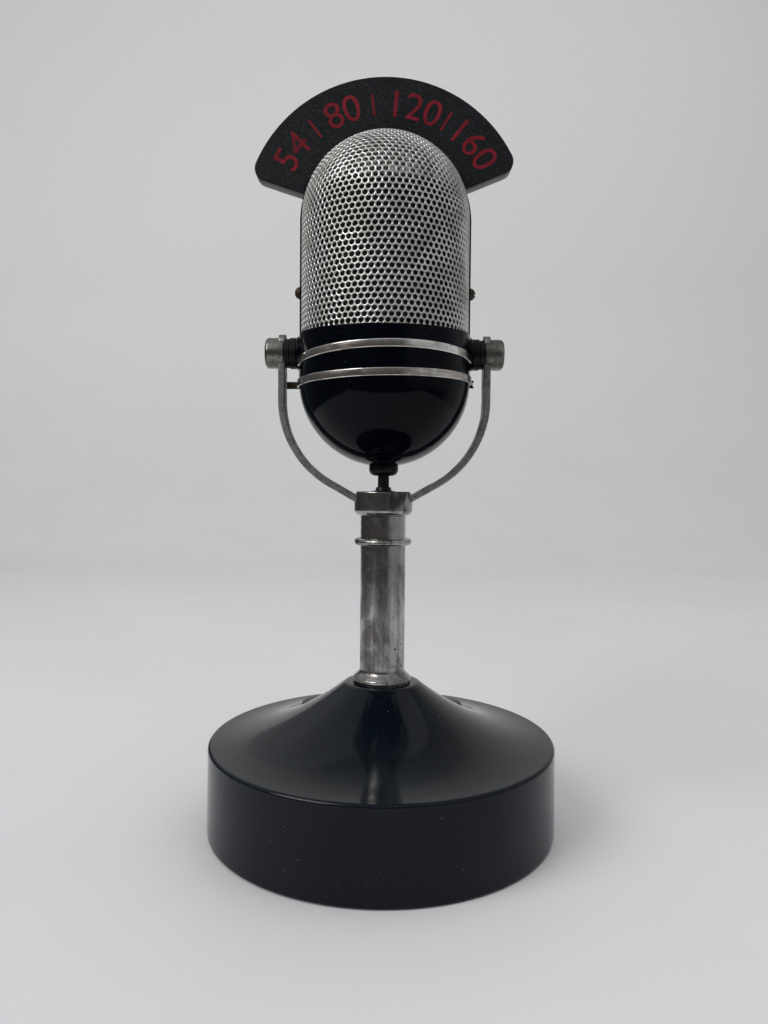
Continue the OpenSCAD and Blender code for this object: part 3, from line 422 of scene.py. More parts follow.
# %% Shared effects
def build_specks():
    """1 - distance / reach from a cell's point, where the cell's own random numbers pick its reach and
    whether it has a speck at all."""
    tree, given, mask = new_group("specks", Scale=600.0, Amount=0.2, Radius=0.25)
    cells = put(tree, "TexVoronoi", Vector=given["Vector"], Scale=given["Scale"])
    chance = put(tree, "SeparateColor", Color=cells.outputs["Color"]).outputs
    reach = times(given["Radius"], plus(0.35, chance[1]))
    inside = minus(1.0, reckon("DIVIDE", cells.outputs["Distance"], reach))
    there = reckon("LESS_THAN", chance[0], given["Amount"])
    tree.links.new(times(between(inside, 0.0, 0.5), there), mask)
    return tree


def build_scratches():
    """1 - |noise - 0.5| / Width, shown where a coarser noise is high."""
    tree, given, mask = new_group("scratches", Scale=40.0, Width=0.01, Amount=0.5)
    lines = noise(given["Vector"], Scale=given["Scale"], Detail=1.0)
    thin = minus(1.0, reckon("DIVIDE", reckon("ABSOLUTE", minus(lines, 0.5)), given["Width"]))
    patch = noise(given["Vector"], Scale=times(given["Scale"], 0.37), Detail=2.0)
    shown = between(patch, minus(0.85, times(given["Amount"], 0.5)), 0.9)
    tree.links.new(times(between(thin, 0.0, 1.0), shown), mask)
    return tree


def build_smears():
    """A cloudy noise that goes from 0 to 1 between 0.5 - Contrast and 0.5 + Contrast."""
    tree, given, mask = new_group("smears", Scale=30.0, Contrast=0.2)
    cloud = noise(given["Vector"], Scale=given["Scale"], Detail=5.0, Distortion=0.6)
    tree.links.new(between(cloud, minus(0.5, given["Contrast"]), plus(0.5, given["Contrast"])), mask)
    return tree


specks, scratches, smears = build_specks(), build_scratches(), build_smears()
print("groups:", [g.name for g in bpy.data.node_groups])

# %% [markdown]
# Every material starts the same way: object coordinates in metres, a Principled BSDF and, where it has
# relief, a Bump node. `stretch` scales the coordinates along each axis, so that a noise turns into the
# streaks of brushed metal. Each finish is kept under its name.


# %% Helpers: a material
finish = {}


def new_material(name, roughness=0.5, metallic=0.0, **sockets):
    """Starts a finish and gives its Principled BSDF. The constants go on the shader's own sockets."""
    finish[name] = bpy.data.materials.new(name)
    finish[name].use_nodes = True
    shader = finish[name].node_tree.nodes["Principled BSDF"]
    for key, value in {"Roughness": roughness, "Metallic": metallic, **sockets}.items():
        shader.inputs[key.replace("_", " ")].default_value = value
    return shader


def place(shader, stretch=(1, 1, 1), turn=(0, 0, 0)):
    """Object coordinates, turned and then stretched."""
    where = put(shader.id_data, "TexCoord").outputs["Object"]
    return put(shader.id_data, "Mapping", Vector=where, Scale=stretch, Rotation=turn).outputs[0]


def relief(shader, height, distance, strength=1.0):
    """Bump from a height. distance is the relief's depth in metres."""
    bump = put(shader.id_data, "Bump", Height=height, Distance=distance, Strength=strength)
    joined(shader, Normal=bump.outputs[0])


def joined(shader, **sockets):
    """Links outputs to the shader's sockets of these names."""
    for key, value in sockets.items():
        shader.id_data.links.new(value, shader.inputs[key.replace("_", " ")])


def gloss(name, dark, light, roughness, dust, scuffs, shine=0.22, side=None):
    """Glossy moulded plastic: faint cloudy colour, smeared gloss, dust and hairline scratches. side is a pair
    of colours for everything below the base's shoulder, darker and bluer: a painted reflection of a dark room
    in the wall."""
    shader = new_material(name, Specular_IOR_Level=shine)
    where = place(shader)
    smear = use(smears, where, Scale=38.0, Contrast=0.22)
    speck = use(specks, where, Scale=420.0, Amount=dust, Radius=0.1)
    fine = use(specks, where, Scale=1500.0, Amount=dust * 1.4, Radius=0.2)
    line = use(scratches, place(shader, (1, 1, 5), (0.3, 0.5, 0.2)), Scale=55.0, Width=0.004, Amount=scuffs)
    dirt = reckon("MAXIMUM", speck, times(fine, 0.6))
    marks = reckon("MAXIMUM", dirt, times(line, 0.5))
    body = blend_colours(smear, dark, light)
    if side:
        # Painted reflection: below the shoulder the colour turns to the darker, bluer side pair, for the dark
        # room that the wall mirrors.
        below = between(xyz(where)["Z"], SHOULDER_Z, SHOULDER_Z - 0.003)
        body = blend_colours(below, body, blend_colours(smear, *side))
    joined(shader, Base_Color=blend_colours(times(marks, 0.35), body, "#8d8f92"),
           Roughness=plus(between(smear, 0.0, 1.0, roughness, roughness * 1.7), times(marks, 0.4)))
    wave = noise(where, Scale=70.0, Detail=2.0)
    relief(shader, plus(wave, times(dirt, 0.15)), 0.00006, 0.3)


def metal(name, bright, dull, roughness, brushing=(1, 1, 1), brush_depth=0.2, pits=0.25, wear=0.5,
          tarnish=0.0):
    """Plated or bare metal: streaks along one way, dull patches, brown tarnish, and pits where the plating
    has gone. The pits come in clusters, because plating lets go in patches."""
    shader = new_material(name, metallic=1.0)
    where = place(shader)
    streak = noise(place(shader, brushing), Scale=700.0, Detail=4.0, Roughness=0.6)
    patch = use(smears, where, Scale=90.0, Contrast=0.16)
    cluster = noise(where, Scale=120.0, Detail=3.0)
    many = between(cluster, 0.45, 0.75, pits * 0.3, pits * 2.4)
    pit = use(specks, where, Scale=1300.0, Amount=many, Radius=0.36)
    spot = use(specks, where, Scale=420.0, Amount=pits * 0.4, Radius=0.2)
    hole = reckon("MAXIMUM", pit, spot)
    tone = between(plus(times(patch, wear), streak), 0.3, 1.2)
    body = blend_colours(tone, bright, dull)
    brown = use(smears, where, Scale=26.0, Contrast=0.12)
    body = blend_colours(times(brown, tarnish), body, "#6a573f")
    joined(shader, Base_Color=blend_colours(times(hole, 0.85), body, "#2b2724"),
           Roughness=plus(between(tone, 0.0, 1.0, roughness, roughness + 0.22), times(hole, 0.3)))
    relief(shader, minus(times(streak, brush_depth), times(hole, 0.15)), 0.00008, 0.6)


def moulded(name, dark, light, roughness, grain=900.0, depth=0.00004, metallic=0.0, shine=0.5):
    """Plain moulded, pressed or painted material with a fine grain and a cloudy tone."""
    shader = new_material(name, metallic=metallic, Specular_IOR_Level=shine)
    where = place(shader)
    cloud = use(smears, where, Scale=80.0, Contrast=0.25)
    texture = noise(where, Scale=grain, Detail=3.0)
    tone = plus(times(cloud, 0.5), times(texture, 0.5))
    joined(shader, Base_Color=blend_colours(tone, dark, light),
           Roughness=between(tone, 0.0, 1.0, roughness - 0.08, roughness + 0.1))
    relief(shader, texture, depth)


# %% [markdown]
# The base and the head are the same black plastic with a trace of blue. The stem is chromed tube, rubbed
# along its length. The yoke is duller, like zinc that was plated long ago. The trim bands are thin polished
# strips. The grille is a plated sheet whose tone is uneven where hands have held it.

# %% Finishes of the pieces that show
SHOULDER_Z = 0.0335
STEM_STREAKS, COLLAR_STREAKS = (1, 1, 0.02), (1, 1, 0.1)
STRAP_STREAKS, BAND_STREAKS = (1, 0.3, 1), (0.15, 0.15, 1)
# The base's side pair is a painted reflection: a darker, bluer tone on the wall for the dark room it mirrors.
gloss("base_gloss", "#060b11", "#091017", 0.07, dust=0.1, scuffs=0.55, side=("#040813", "#060b1a"))
gloss("head_gloss", "#020409", "#03070e", 0.06, dust=0.05, scuffs=0.4, shine=0.1)
metal("stem_chrome", "#bcbab7", "#6a6765", 0.12, STEM_STREAKS, 0.25, pits=0.4, tarnish=0.06)
metal("collar_chrome", "#b9b8b5", "#454341", 0.15, COLLAR_STREAKS, 0.25, pits=0.35, wear=0.7, tarnish=0.05)
metal("yoke_steel", "#b6b6b7", "#737170", 0.36, STRAP_STREAKS, 0.5, pits=0.15, tarnish=0.12)
metal("cap_chrome", "#8f8d88", "#575550", 0.25, brush_depth=0.35, pits=0.4)
metal("band_chrome", "#fbf8f4", "#a79d95", 0.08, BAND_STREAKS, 0.15, pits=0.08, tarnish=0.05)
metal("grille_chrome", "#e6e6e5", "#bab9b6", 0.33, brush_depth=0.1, pits=0.02, tarnish=0.15)
metal("screw_steel", "#b8b6b2", "#8a8783", 0.25, pits=0.1)
metal("side_screw", "#55463a", "#2f2822", 0.4, brush_depth=0.3, pits=0.5)
metal("tab_brass", "#5c543b", "#37322a", 0.4, pits=0.4)
moulded("sign_grey", "#3c3e41", "#4c4f52", 0.4)
moulded("washer_black", "#050506", "#0b0b0d", 0.4, shine=0.2)
moulded("grommet_black", "#050506", "#0c0c0d", 0.4, shine=0.25)
moulded("cable_black", "#050506", "#0d0d0e", 0.4, shine=0.3)
moulded("wheel_black", "#0d0d0f", "#1d1d20", 0.4)
moulded("foot_rubber", "#161719", "#26272a", 0.75)
moulded("plate_plastic", "#101113", "#1b1c1f", 0.5, grain=500.0, depth=0.00008)


def sign_finish():
    """Black satin film with a fine pebble grain. Its tops get painted highlights: small grey specks in the
    colour.
    """
    shader = new_material("sign_black", roughness=0.45, Specular_IOR_Level=0.2)
    where = place(shader)
    pebble_grain_and_highlight = use(specks, where, Scale=1700.0, Amount=0.75, Radius=0.5)
    black = blend_colours(use(smears, where, Scale=60.0, Contrast=0.25), "#0c0e11", "#14171b")
    # Painted highlight: grey specks on the tops of the pebble grain.
    joined(shader, Base_Color=blend_colours(times(pebble_grain_and_highlight, 0.55), black, "#3a4249"))
    relief(shader, pebble_grain_and_highlight, 0.00006, 0.6)


sign_finish()
print("finishes of the outside:", len(finish))

# %% [markdown]
# The pieces inside are seen through the vents and when the base is opened. Each still gets the look of what
# it is made of: shrink-wrapped cells, a green lacquered board, enamelled copper, pressed paper.


# %% Finishes of the pieces inside
def coil_finish(pitch=0.5 * MM):
    """Enamelled copper wire wound along X. sqrt(2 t), with t going 0 to 0.5 and back in each turn, rounds the
    turns. The same height also paints the grooves between turns dark and their crests bright: painted shade
    and highlight."""
    shader = new_material("coil_copper", roughness=0.3, metallic=0.7)
    turns = reckon("PINGPONG", reckon("DIVIDE", xyz(place(shader))["X"], pitch), 0.5)
    turn_height_and_painted_shade = reckon("SQRT", times(turns, 2.0))
    # Painted shade and highlight: dark copper in the grooves between turns, bright copper on the crests.
    joined(shader, Base_Color=blend_colours(turn_height_and_painted_shade, "#5b2c10", "#c0703a"))
    relief(shader, turn_height_and_painted_shade, pitch * 0.3)


def board_finish():
    """Green lacquer over copper tracks: the tracks are straight runs that a coarse cell pattern turns."""
    shader = new_material("board_green", roughness=0.35)
    cells = put(shader.id_data, "TexVoronoi", {"distance": "MANHATTAN"},
                Vector=place(shader, (1, 1, 0.001)), Scale=130.0)
    track = between(reckon("PINGPONG", times(cells.outputs["Distance"], 5.0), 0.5), 0.2, 0.3)
    joined(shader, Base_Color=blend_colours(track, "#1d4a2b", "#3c7a3f"))
    relief(shader, track, 0.00005)


def cloth_finish():
    """Black woven cloth. In a band across the front of the dome, behind the sheet's holes, it is painted grey
    with pale flecks: painted glints that stand in for the light falling through the holes."""
    shader = new_material("grille_black", roughness=0.7)
    where = place(shader)
    tree = shader.id_data
    weave = put(tree, "TexWave", {"bands_direction": "Z"}, Vector=where, Scale=900.0, Distortion=1.0)
    thread = weave.outputs[1]
    _, y, z = xyz(where)
    # Painted glints: this band of the dome's front is painted grey, with pale flecks, for light that falls
    # through the grille's holes.
    ink_wear_and_painted_glint_zone = times(times(between(z, 0.2402, 0.2412), between(z, 0.262, 0.25)), between(y, -0.012, -0.018))
    painted_glint_fleck = use(specks, where, Scale=620.0, Amount=0.9, Radius=0.55)
    black = blend_colours(thread, "#040404", "#0d0d0d")
    grey = blend_colours(painted_glint_fleck, "#5d5c5a", "#f4f3f0")
    joined(shader, Base_Color=blend_colours(ink_wear_and_painted_glint_zone, black, grey))
    relief(shader, thread, 0.0001)


coil_finish()
board_finish()
cloth_finish()
moulded("cell_jacket", "#8c6a1e", "#c49a35", 0.3, metallic=0.4)
metal("contact_metal", "#c8c4b8", "#98948a", 0.25)
moulded("lead_red", "#7c1614", "#9c2320", 0.4)
moulded("gang_white", "#d9d7cf", "#eceae3", 0.35)
metal("pot_steel", "#a3a29e", "#787671", 0.35)
moulded("shaft_nylon", "#c9c6bb", "#dedbd1", 0.4)
moulded("ferrite", "#26262a", "#38383c", 0.6, grain=1400.0)
moulded("clip_black", "#141416", "#202023", 0.45)
metal("can_metal", "#c2c1bd", "#94928d", 0.3)
moulded("capacitor_blue", "#16306e", "#254a96", 0.3)
moulded("socket_ivory", "#d8d2bd", "#e8e3d2", 0.4)
moulded("baffle_black", "#131315", "#202124", 0.6)
metal("frame_steel", "#7e8084", "#55585c", 0.4)
moulded("magnet_grey", "#26262a", "#3a3a3e", 0.55, grain=1200.0)
moulded("surround_black", "#0c0c0d", "#18181a", 0.8)
moulded("cone_paper", "#17171a", "#2a2a2e", 0.85, grain=2200.0, depth=0.0001)
moulded("lamp_red", "#a3241d", "#c9362c", 0.25)
print("finishes in all:", len(finish))

# %% [markdown]
# Each CAD node has one material slot of its own, so a node that keeps its CAD shape gets its finish in one
# line. The record says which slot a node's material belongs to. The nodes that get a finer mesh later are
# painted too, because the same table serves all of them. Only the sign's two slots have other names than
# their finishes.

# %% Painting the CAD nodes
finish_of = {**finish, "sign_black": finish["sign_grey"], "sign_front": finish["sign_black"]}
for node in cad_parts.values():
    for slot in node.material_slots:
        slot.material = finish_of[slot.material.name.split(".")[0]]
print("painted", len(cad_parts), "nodes")

# %% [markdown]
# ## The base
# The base is one moulded shell: a low wall with a slight draft, a rounded rim, and a hollow cone that
# sweeps up to the neck. The cone's height falls from the neck as a power of the distance from the rim,
# which gives the horn-like curve of the real one. The neck ends in a level seat with a soft edge, and the
# stem's foot stands in the middle of it. Two slots at the back let the rims of the thumbwheels out.

# %% The base shell
BASE_R, TOP_R, RIM_Z, RIM_ROUND, BASE_WALL = 67.5, 67.2, 33.4, 1.2, 2.64
NECK_R, NECK_Z, SEAT_R, BORE_R = 12.3, 57.0, 14.4, 5.05
WHEEL_X, WHEEL_Y, WHEEL_Z, WHEEL_R = 23.345, 18.239, 40.0, 10.0
WHEEL_SLOT_R, WHEEL_SLOT_HALF = WHEEL_R + 0.6, 2.1


def cone_height(r):
    """Height of the cone at the radius r."""
    return RIM_Z + (NECK_Z - RIM_Z) * ((TOP_R - r) / (TOP_R - NECK_R)) ** 1.9


SEAT_Z = cone_height(SEAT_R)
seat = eased([[SEAT_R + 2, cone_height(SEAT_R + 2)], [SEAT_R, SEAT_Z], [BORE_R, SEAT_Z]], 0.9, closed=False)
outer_r = np.linspace(TOP_R - 1.25, SEAT_R + 2, 70)
inner_r = np.linspace(NECK_R, TOP_R - 3.6, 40)
base_profile = np.concatenate([
    [[BASE_R - 2.4, 0.9], [BASE_R - 2.1, 0.6], [BASE_R - 0.5, 0.6], [BASE_R - 0.1, 0.9], [BASE_R, 1.6]],
    np.stack([np.linspace(BASE_R, TOP_R, 6), np.linspace(3, RIM_Z - 1.6, 6)], 1),
    arc(TOP_R - RIM_ROUND, RIM_Z - RIM_ROUND, RIM_ROUND, 0, 84, 10),
    np.stack([outer_r, cone_height(outer_r)], 1),
    seat[1:],
    [[BORE_R, NECK_Z - BASE_WALL]],
    np.stack([inner_r, cone_height(inner_r) - BASE_WALL], 1),
    [[BASE_R - 2.4, RIM_Z - 4.4]],
])
slot = rod(WHEEL_SLOT_R, WHEEL_Z - WHEEL_SLOT_HALF, WHEEL_Z + WHEEL_SLOT_HALF, 96)
wheel_slots = [moved(slot, side * WHEEL_X, WHEEL_Y) for side in (-1, 1)]
base_mesh = combined(mesh_from("base", turned(base_profile, 288)), ("DIFFERENCE", *wheel_slots))
add_piece("base_shell_fine", base_mesh, "stand", "base_gloss", ["base_shell"])

# %% [markdown]
# The thumbwheels are ribbed on the rim so that a finger grips them. The rim's radius is a smooth wave of
# the angle, 36 ribs round, and the wave flattens at the ribs' tops, as moulded ribs do.


# %% The thumbwheels and the feet
RIBS, RIB_DEPTH = 36, 0.5
FOOT_RING, FOOT_ANGLES = 57.0, (40, 140, 227, 313)


def thumbwheel():
    """r(a) = R - RIB_DEPTH (1 - |cos(RIBS a / 2)|^0.6), the same at all heights but for eased edges. The
    lower half of the section lists how far each point is inside R and how far below the middle, and the
    upper half mirrors it."""
    a = np.radians(np.arange(0, 360, 360 / (RIBS * 8)))
    wave = RIB_DEPTH * (1 - np.abs(np.cos(RIBS / 2 * a)) ** 0.6)
    lower = np.array([
        [9.9, 1.5], [7.2, 1.5], [7.2, 0.9], [7.0, 0.8], [6.6, 1.5], [0.3, 1.5], [0.08, 1.42], [0, 1.2],
    ])
    ins, z = np.concatenate([lower * (1, -1), lower[::-1]]).T[..., None]
    radius = WHEEL_R - ins - wave * (ins < 1)
    return capped(np.stack([radius * np.cos(a), radius * np.sin(a), z + WHEEL_Z + 0 * a], -1))


for side, name in ((1, "tuning"), (-1, "volume")):
    wheel = moved(thumbwheel(), side * WHEEL_X, WHEEL_Y)
    add_piece(f"{name}_wheel_ribbed", wheel, name, "wheel_black", [f"{name}_wheel"])

foot_profile = eased(
    [[0, 0.3], [2.4, 0.3], [2.6, 0], [4.6, 0], [5, 0.6], [5, 2.4], [0, 2.4]], 0.3, closed=False
)
foot = moved(turned(foot_profile, 48), FOOT_RING)
feet_mesh = mesh_from("feet", *[spun(foot, angle) for angle in FOOT_ANGLES])
add_piece("rubber_feet_turned", feet_mesh, "stand", "foot_rubber", ["rubber_feet"])

# %% [markdown]
# ## The stem
# A chromed tube stands on the neck with a small flared foot, whose flange leaves a fine dark groove below
# it. A bead ring is pressed on near its top. The collar is a cup whose lower edge is rounded, slotted on
# both sides so that the yoke's foot lies in it.

# %% The stem, the bead ring and the collar
STEM_R, STEM_BORE, STEM_TOP = 8.8, 7.6, 120.8
BEAD_R, BEAD_Z = 1.3, 110.5
COLLAR_R, COLLAR_TOP, COLLAR_FLOOR, COLLAR_SLOT_HALF = 11.35, 130.0, 124.6, 4.3
stem_foot = eased([
    [STEM_BORE, SEAT_Z], [10.6, SEAT_Z], [10.6, 56.05], [11.4, 56.05], [11.4, 57.15],
    [STEM_R, 59.5], [STEM_R, 62],
], [0, 0, 0.1, 0.2, 0.3, 1.2, 0], closed=False)
stem_profile = np.concatenate([stem_foot, [
    [STEM_R, 63], [STEM_R, STEM_TOP - 0.6], [STEM_R, STEM_TOP - 0.2],
    [STEM_R - 0.2, STEM_TOP], [STEM_BORE, STEM_TOP],
]])
add_piece("stem_tube_fine", turned(stem_profile, 160), "stand", "stem_chrome", ["stem_tube"])

bead = arc(STEM_R + 1.15, BEAD_Z, BEAD_R, -90, 90, 24)
bead_profile = np.concatenate([[[STEM_R + 0.05, BEAD_Z - BEAD_R]], bead, [[STEM_R + 0.05, BEAD_Z + BEAD_R]]])
add_piece("bead_ring_fine", turned(bead_profile, 160), "stand", "stem_chrome", ["bead_ring"],
          finish["collar_chrome"])

collar_profile = np.concatenate([
    [[BORE_R, STEM_TOP]], arc(COLLAR_R - 2.2, STEM_TOP + 2.2, 2.2, -90, 0, 14),
    [[COLLAR_R, COLLAR_TOP - 0.7]], arc(COLLAR_R - 0.35, COLLAR_TOP - 0.35, 0.35, 0, 90, 4),
    arc(9.75, COLLAR_TOP - 0.3, 0.3, 90, 180, 4), [[9.45, COLLAR_FLOOR], [BORE_R, COLLAR_FLOOR]],
])
slot = prism([
    [-20, 131.2], [-7.9, COLLAR_FLOOR], [7.9, COLLAR_FLOOR], [20, 131.2], [20, 135], [-20, 135],
], -COLLAR_SLOT_HALF, COLLAR_SLOT_HALF)
collar_mesh = combined(mesh_from("collar", turned(collar_profile, 200)), ("DIFFERENCE", slot))
add_piece("collar_fine", collar_mesh, "stand", "stem_chrome", ["collar"], finish["collar_chrome"])

# %% [markdown]
# ## The yoke
# The yoke is one strap of steel, 8 by 2.6 mm, bent cold: flat in the collar, then out along a slope, round
# two wide bends and straight up to the pivots. Carrying one section along the strap's middle line keeps its
# width and thickness the same everywhere, as a real strap's are, and gives both long edges their small
# radius.

# %% The yoke
PIVOT_Z, PIVOT_BORE = 183.5, 2.05
STRAP_HALF, STRAP_W = 1.3, 4.0
BEND_X, BEND_Z, BEND_R, SLOPE = 2.6, 165.3, 37.1, -60.6
FOOT_Z, EAR_Z = 125.7, 186.7


def at_pivot(part, side):
    """The part turned so that it points outwards along X, at the height of the pivots."""
    return moved(along_x(part, side), z=PIVOT_Z)


def yoke_line():
    """The right half of the strap's middle line in the XZ plane, from its foot to its end, and half its
    width there."""
    bend = arc(BEND_X, BEND_Z, BEND_R, SLOPE, 0, 44)
    corner_x = bend[0, 0] - (bend[0, 1] - FOOT_Z) / math.tan(math.radians(90 + SLOPE))
    foot = eased([[0, FOOT_Z], [corner_x, FOOT_Z], bend[0]], 2.2, steps=6, closed=False)[:-1]
    rise = np.stack([np.full(8, bend[-1, 0]), np.linspace(BEND_Z + 2.5, EAR_Z, 8)], 1)
    a = np.radians(np.linspace(5, 90, 18))
    end = np.stack([np.full(18, bend[-1, 0]), EAR_Z + STRAP_W * np.sin(a)], 1)
    width = np.concatenate([np.full(len(foot) + len(bend) + len(rise), STRAP_W), STRAP_W * np.cos(a)])
    return np.concatenate([foot, bend, rise, end]), width


line, width = yoke_line()
line = np.concatenate([line[:0:-1] * (-1, 1), line])
width = np.concatenate([width[:0:-1], width])
tangent = np.gradient(line, axis=0)
tangent /= np.linalg.norm(tangent, axis=1, keepdims=True)
across = np.stack([tangent[:, 1], -tangent[:, 0]], 1)
section = eased(np.array([[-1, -1], [1, -1], [1, 1], [-1, 1]]) * (STRAP_HALF, STRAP_W), 0.45)
thick, wide = section.T
narrowed = np.sign(wide) * np.maximum(np.abs(wide) - (STRAP_W - width[:, None]), 0)
yoke_points = np.stack([
    line[:, :1] + across[:, :1] * thick, narrowed, line[:, 1:] + across[:, 1:] * thick,
], -1)
yoke_part = (yoke_points.reshape(-1, 3), grid(len(line), len(section), wrap_columns=True))
yoke_bores = [at_pivot(rod(PIVOT_BORE, 30, 50), side) for side in (-1, 1)] + [rod(BORE_R, 120, 130, 64)]
yoke_mesh = combined(mesh_from("yoke", yoke_part), ("DIFFERENCE", *yoke_bores))
add_piece("yoke_strap", yoke_mesh, "stand", "yoke_steel", ["yoke"], sharp=40)

# %% [markdown]
# A round cap holds each side of the yoke. It is slotted so that it can't turn on the strap, and a screw
# from inside the head reaches into it. Its outer edge has a wide, worn chamfer.

# %% The pivot caps
CAP_R, CAP_IN, CAP_OUT, CHAMFER = 5.9, 38.9, 46.1, 0.9
cap_profile = eased([
    [0, CAP_IN], [CAP_R, CAP_IN], [CAP_R, CAP_OUT - CHAMFER], [CAP_R - CHAMFER, CAP_OUT], [0, CAP_OUT],
], 0.35, closed=False)
caps, cap_cuts = [], []
for side in (-1, 1):
    caps.append(at_pivot(turned(cap_profile, 96), side))
    low, high = sorted((side * 38.0, side * 41.0))
    cap_cuts.append(box_part((low, -4.05, PIVOT_Z - 9), (high, 4.05, PIVOT_Z + 9)))
    cap_cuts.append(at_pivot(rod(PIVOT_BORE, 38, 44.2), side))
cap_mesh = combined(mesh_from("caps", *caps), ("DIFFERENCE", *cap_cuts))
add_piece("pivot_caps_fine", cap_mesh, "stand", "cap_chrome", ["pivot_caps"])

# %% [markdown]
# ## The head's shells
# The head is a pill: two half-spheres joined by a straight wall, split front and back at y = 0. The front
# shell stops at a rim just above the pivots, and the grille fills the rest. Its surface is the pill's
# profile turned half round, and the height of its rim changes with the angle, because the rim dips towards
# the front.

# %% The front shell
HEAD_R, WALL, CABLE_HOLE = 33.2, 2.0, 3.95
LOW_Z, HIGH_Z = 173.0, 234.6
LIP_R, LIP_Y, LIP_Z = 32.5, 1.35, 187.35
SHELL_RIM_Z, RIM_DIP = 190.4, 2.4
SEAM = 0.12


def front_shell():
    """Point (a, k): the profile's point k turned to the angle a from the front. x = r sin a, y = -r cos a.
    Within the seam's bevel the outside draws in by SEAM."""
    edge = math.degrees(SEAM / HEAD_R)
    a = np.radians(np.concatenate([[-90, -90 + edge], np.linspace(-89.2, 89.2, 121), [90 - edge, 90]]))
    bevel = np.zeros(len(a))
    bevel[[0, -1]] = SEAM
    rim = SHELL_RIM_Z - np.cos(a) * HEAD_R * math.tan(math.radians(RIM_DIP))
    ball = np.radians(np.linspace(math.degrees(math.asin(CABLE_HOLE / HEAD_R)), 90, 44))
    rise = np.linspace(0.08, 0.97, 7)
    edge_r = [HEAD_R, HEAD_R - 0.07, HEAD_R - 0.25]
    out_r = np.concatenate([HEAD_R * np.sin(ball), np.full(len(rise), HEAD_R), edge_r])
    out_z = np.concatenate([LOW_Z - HEAD_R * np.cos(ball), np.full(len(rise) + 3, LOW_Z)])
    up = np.concatenate([np.zeros(len(ball)), rise, [1, 1, 1]])
    down = np.concatenate([np.zeros(len(ball) + len(rise)), [0.25, 0.07, 0]])
    inner = HEAD_R - WALL
    ball_in = np.radians(np.linspace(90, math.degrees(math.asin(CABLE_HOLE / inner)), 30))
    in_r = np.concatenate([[LIP_R + 0.1, LIP_R, LIP_R, inner, inner], inner * np.sin(ball_in[1:])])
    in_z = np.concatenate([[0, 0, LIP_Z, LIP_Z, LOW_Z], LOW_Z - inner * np.cos(ball_in[1:])])
    r = np.concatenate([out_r, in_r])
    base = np.concatenate([out_z, in_z])
    top = np.concatenate([up, [1, 1], np.zeros(len(in_r) - 2)])
    drop = np.concatenate([down, [0, 0.1], np.zeros(len(in_r) - 2)])
    base[len(out_r) : len(out_r) + 2] = LOW_Z
    z = base[None] + top[None] * (rim[:, None] - LOW_Z) - drop[None]
    shown = np.arange(len(r)) < len(out_r)
    radius = r[None] - bevel[:, None] * shown[None]
    return capped(np.stack([radius * np.sin(a)[:, None], -radius * np.cos(a)[:, None], z], -1))


def half_pad(side, front):
    """Half of the round pad that a pivot bush stands on, front or back of the seam."""
    profile = eased([[0, 30.5], [6.6, 30.5], [6.6, 33.5], [5.8, 34.3], [0, 34.3]], 0.25, closed=False)
    start = 180 if front else 0
    return moved(at_pivot(turned(profile, 49, start, start + 180), side), y=(-0.5 if front else 0.5) * SEAM)


pad_bores = [at_pivot(rod(3.65, 28, 36), side) for side in (-1, 1)]
front_mesh = combined(
    mesh_from("front", front_shell()),
    ("UNION", half_pad(-1, True), half_pad(1, True)), ("DIFFERENCE", *pad_bores),
)
add_piece("front_shell_fine", front_mesh, "head", "head_gloss", ["front_shell"])

# %% [markdown]
# The rear shell goes from the bottom over the top, so it is better described slice by slice from front to
# back. A slice of a pill at a given y is a stadium: two half-circles and two straight sides. Its radius at
# depth y is sqrt(R^2 - y^2). Where the grille's edge lies, a lip thins the wall.

# %% The rear shell
def stadium():
    """Unit outline of a slice: its x and z factors, the height each counts from, and where the lip is."""
    top, low = np.radians(np.linspace(0, 180, 73)), np.radians(np.linspace(180, 360, 73))
    down = np.concatenate([np.linspace(HIGH_Z, LIP_Z, 26)[1:], np.linspace(LIP_Z, LOW_Z, 9)[:-1]])
    flat, lip = np.zeros(len(down)), np.arange(len(down)) < 25
    return (
        np.concatenate([np.cos(top), flat - 1, np.cos(low), flat + 1]),
        np.concatenate([np.sin(top), flat, np.sin(low), flat]),
        np.concatenate([np.full(len(top), HIGH_Z), down, np.full(len(low), LOW_Z), down[::-1]]),
        np.concatenate([np.full(len(top), True), lip, np.full(len(low), False), lip[::-1]]),
    )


def rear_shell():
    """Point (k, j): the slice j's point k. Slices run from the inner pole to the seam, across it, and back
    outside to the outer pole. The two slices of the lip are at the columns after the inner ones."""
    ux, uz, base, lip = stadium()
    inner = HEAD_R - WALL
    b_in, b_out = np.radians(np.linspace(90, 4, 30)), np.radians(np.linspace(3, 90, 60))
    n = len(b_in)
    y = np.concatenate([inner * np.sin(b_in), [LIP_Y, LIP_Y, 0, 0, SEAM], HEAD_R * np.sin(b_out)])
    ball = np.concatenate([np.full(n + 3, inner), [HEAD_R - SEAM, HEAD_R], np.full(len(b_out), HEAD_R)])
    ball = np.repeat(ball[None], len(ux), 0)
    ball[np.ix_(lip, [n + 1, n + 2])] = LIP_R
    radius = np.sqrt(np.maximum(ball**2 - y**2, 0))
    radius[:, [0, -1]] = 0
    points = np.stack([ux[:, None] * radius, y + 0 * radius, base[:, None] + uz[:, None] * radius], -1)
    return (points.reshape(-1, 3), grid(len(ux), len(y), wrap_rows=True))


SIGN_TURN, PEG_TURN, PEG_Y = -2.2, 35.0, 3.2
VENT_X, VENT_HALF, VENT_LOW, VENT_HIGH = (-12, -6, 0, 6, 12), 1.1, 201.5, 227.5
WELL_X, WELL_Z = 14, 159
LUG_IN, LUG_OUT, LUG_BACK = 32.6, 34.45, 1.4


